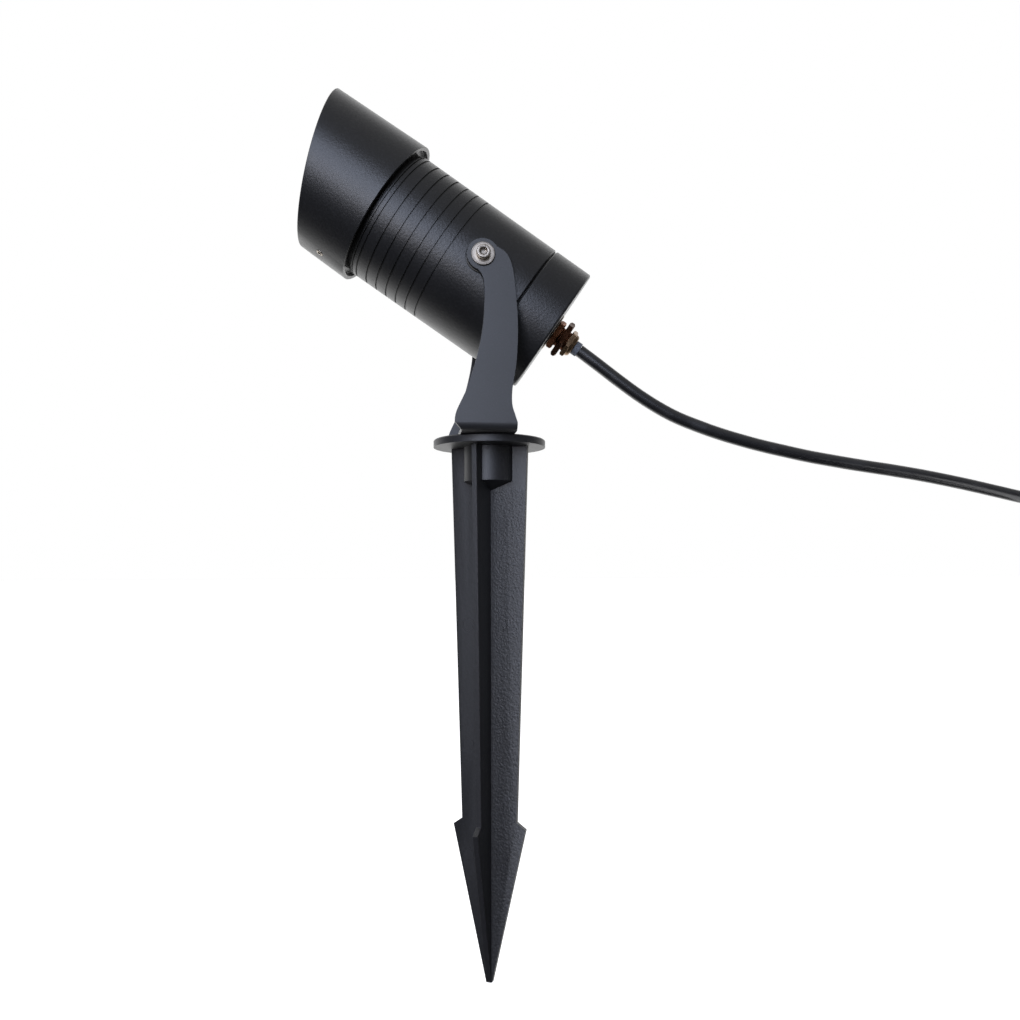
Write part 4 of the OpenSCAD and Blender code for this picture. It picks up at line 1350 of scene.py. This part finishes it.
class SPIKE_OT_tilt_screws(bpy.types.Operator):
    """Makes the tilt joint's socket screws and washers on both sides"""

    bl_idname = "spike_light.tilt_screws"
    bl_label = "Tilt screws"

    def execute(self, context):
        lamp = settings().lamp
        screw = turned("tilt_screw", [
            (0, SCREW_END), (SCREW_R - 0.4, SCREW_END), (SCREW_R, SCREW_END + 0.4),
            (SCREW_R, SPRING_OUT), (SCREW_HEAD_R, SPRING_OUT), (SCREW_HEAD_R, SCREW_TOP - 0.65),
            *arc((SCREW_HEAD_R - 0.5, SCREW_TOP - 0.5), 0.5, 0, 90, 5), (0, SCREW_TOP)], steps=96)
        socket = cylinder("socket", SOCKET_FLATS / math.sqrt(3), SOCKET_FLOOR, SCREW_TOP + 1.15, vertices=6)
        combine(screw, socket, "DIFFERENCE")
        lead_in = turned("lead_in", [
            (0, SCREW_TOP - 0.65), (1.45, SCREW_TOP - 0.65), (2.25, SCREW_TOP + 0.15),
            (0, SCREW_TOP + 0.15)], steps=48)
        combine(screw, lead_in, "DIFFERENCE")
        soften(screw, lamp.metal_edge * 0.6, sharper_than=25)
        flat = turned("tilt_washer", washer_profile(WASHER_BORE, 6, ARM_OUT, WASHER_OUT, 0.3), steps=96)
        soften(flat, lamp.metal_edge * 0.6)
        friction = turned("friction_disc", washer_profile(WASHER_BORE, 8, FACE_Y, DISC_OUT, 0.3), steps=96)
        soften(friction, lamp.metal_edge)
        spring = split_washer("tilt_spring_washer", WASHER_BORE, 3.6, WASHER_OUT, SPRING_OUT)
        for model, node in ((screw, "pivot_screws"), (flat, "pivot_washers"),
                            (friction, "friction_washers"), (spring, "pivot_spring_washers")):
            name = model.name
            twins = [copied(model, f"{word}_{name}", place) for word, place in both_sides()]
            bpy.data.objects.remove(model)
            shared(twins, "lamp_head", node)
        return {"FINISHED"}


# -------------------------------------------------------------------- stake

STAKE_TURN = math.radians(-26.8)
PIN_MARKS_RIGHT = (-40.8, -94.6, -159.8, -216.3)
PIN_MARKS_LEFT = (-94.6, -157.6, -215.2)
PIN_MARK_WIDTH = 0.45
PIN_MARK_DEPTH = 0.3
FIN_FACE = -1.3
INSERT = (-12, 3.8)
BOLT_R = 3
BOLT_HEAD = 4
BOLT_FLATS = 10
BOLT_WASHER = (7.1, 8.3)
BOLT_SPRING = (8.3, 9.7)


class SPIKE_OT_stake(bpy.types.Operator):
    """Makes the moulded stake, its brass insert and the bolt on top"""

    bl_idname = "spike_light.stake"
    bl_label = "Stake and bolt"

    def execute(self, context):
        stake = refined("ground_stake", "finned_stake")
        soften(stake, settings().lamp.mould_edge, sharper_than=40)
        self.pin_marks(stake)
        fitted(stake, "stake", "ground_stake")
        turned_piece(
            "threaded_insert", "stake_insert", washer_profile(BOLT_R, 5.2, *INSERT, 0.3), 0.1 * MM,
            steps=72, place=WORLD, body="stake")
        self.bolt()
        return {"FINISHED"}

    def pin_marks(self, stake):
        """Shallow round marks that the mould's ejector pins leave on the broad fins."""
        radius = settings().lamp.pin_mark_r / MM
        fin = Matrix.Rotation(STAKE_TURN, 4, "Z")
        marks = [(7.5, height) for height in PIN_MARKS_RIGHT]
        marks += [(-11.5, height) for height in PIN_MARKS_LEFT]
        for reach, height in marks:
            inner = radius - PIN_MARK_WIDTH
            groove = turned("mark", [
                (inner, -1), (radius, -1), (radius, PIN_MARK_DEPTH), (inner, PIN_MARK_DEPTH)], steps=48)
            place = Matrix.Translation(Vector((reach, FIN_FACE, height)) * MM)
            settle(groove, fin @ place @ Matrix.Rotation(-math.pi / 2, 4, "X"))
            combine(stake, groove, "DIFFERENCE")

    def bolt(self):
        """The hexagon bolt that holds the bracket, with its washers."""
        low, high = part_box("stake_bolt")
        bottom, top = low.z / MM, high.z / MM
        head = nut("bolt_head", BOLT_FLATS, top - BOLT_HEAD, top)
        neck = top - BOLT_HEAD + 0.1
        shank = turned("shank", [
            (0, bottom), (BOLT_R - 0.4, bottom), (BOLT_R, bottom + 0.4), (BOLT_R, neck), (0, neck)])
        combine(head, shank, "UNION")
        fitted(head, "stake", "stake_bolt")
        turned_piece(
            "bolt_flat_washer", "bolt_washer", washer_profile(BOLT_R + 0.1, 7, *BOLT_WASHER, 0.3),
            0.1 * MM, steps=96, place=WORLD, body="stake")
        spring = split_washer("bolt_split_washer", BOLT_R + 0.1, 5.2, *BOLT_SPRING)
        fitted(spring, "stake", "bolt_spring_washer")


class SPIKE_OT_inside(bpy.types.Operator):
    """Gives the CAD pieces that stay as they are their finishes"""

    bl_idname = "spike_light.inside"
    bl_label = "Inner pieces"

    def execute(self, context):
        replaced = {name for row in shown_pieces() for name in row.get("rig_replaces", [])}
        for name, node in frame["nodes"].items():
            if name in replaced:
                continue
            finish = finish_of(SLOTS[name])
            if not node.material_slots:
                node.data.materials.append(finish)
            for slot in node.material_slots:
                slot.material = finish
        return {"FINISHED"}


class SPIKE_PT_panel(bpy.types.Panel):
    """Lists the pieces and their sizes"""

    bl_idname = "SPIKE_PT_panel"
    bl_label = "Spike Light"
    bl_space_type = "VIEW_3D"
    bl_region_type = "UI"
    bl_category = "Spike Light"

    def draw(self, context):
        look = context.scene.spike_light
        for group in (look.lamp, look.lead, look.colours, look.studio):
            box = self.layout.box()
            for name in group.__annotations__:
                box.prop(group, name)
        for operator in OPERATORS:
            self.layout.operator(operator.bl_idname)


OPERATORS = (
    SPIKE_OT_stage, SPIKE_OT_lead, SPIKE_OT_hood, SPIKE_OT_housing, SPIKE_OT_optics,
    SPIKE_OT_gland, SPIKE_OT_bracket, SPIKE_OT_tilt_screws, SPIKE_OT_stake, SPIKE_OT_inside,
)
CLASSES = (
    LampSizes, LeadSizes, FinishColours, StudioLook, SpikeLightSettings, *OPERATORS, SPIKE_PT_panel,
)


def register():
    for cls in CLASSES:
        bpy.utils.register_class(cls)
    bpy.types.Scene.spike_light = PointerProperty(type=SpikeLightSettings)


def unregister():
    del bpy.types.Scene.spike_light
    for cls in reversed(CLASSES):
        bpy.utils.unregister_class(cls)


def main():
    register()
    for operator in OPERATORS:
        group, name = operator.bl_idname.split(".")
        getattr(getattr(bpy.ops, group), name)()
    deselect()


if __name__ == "__main__":
    main()
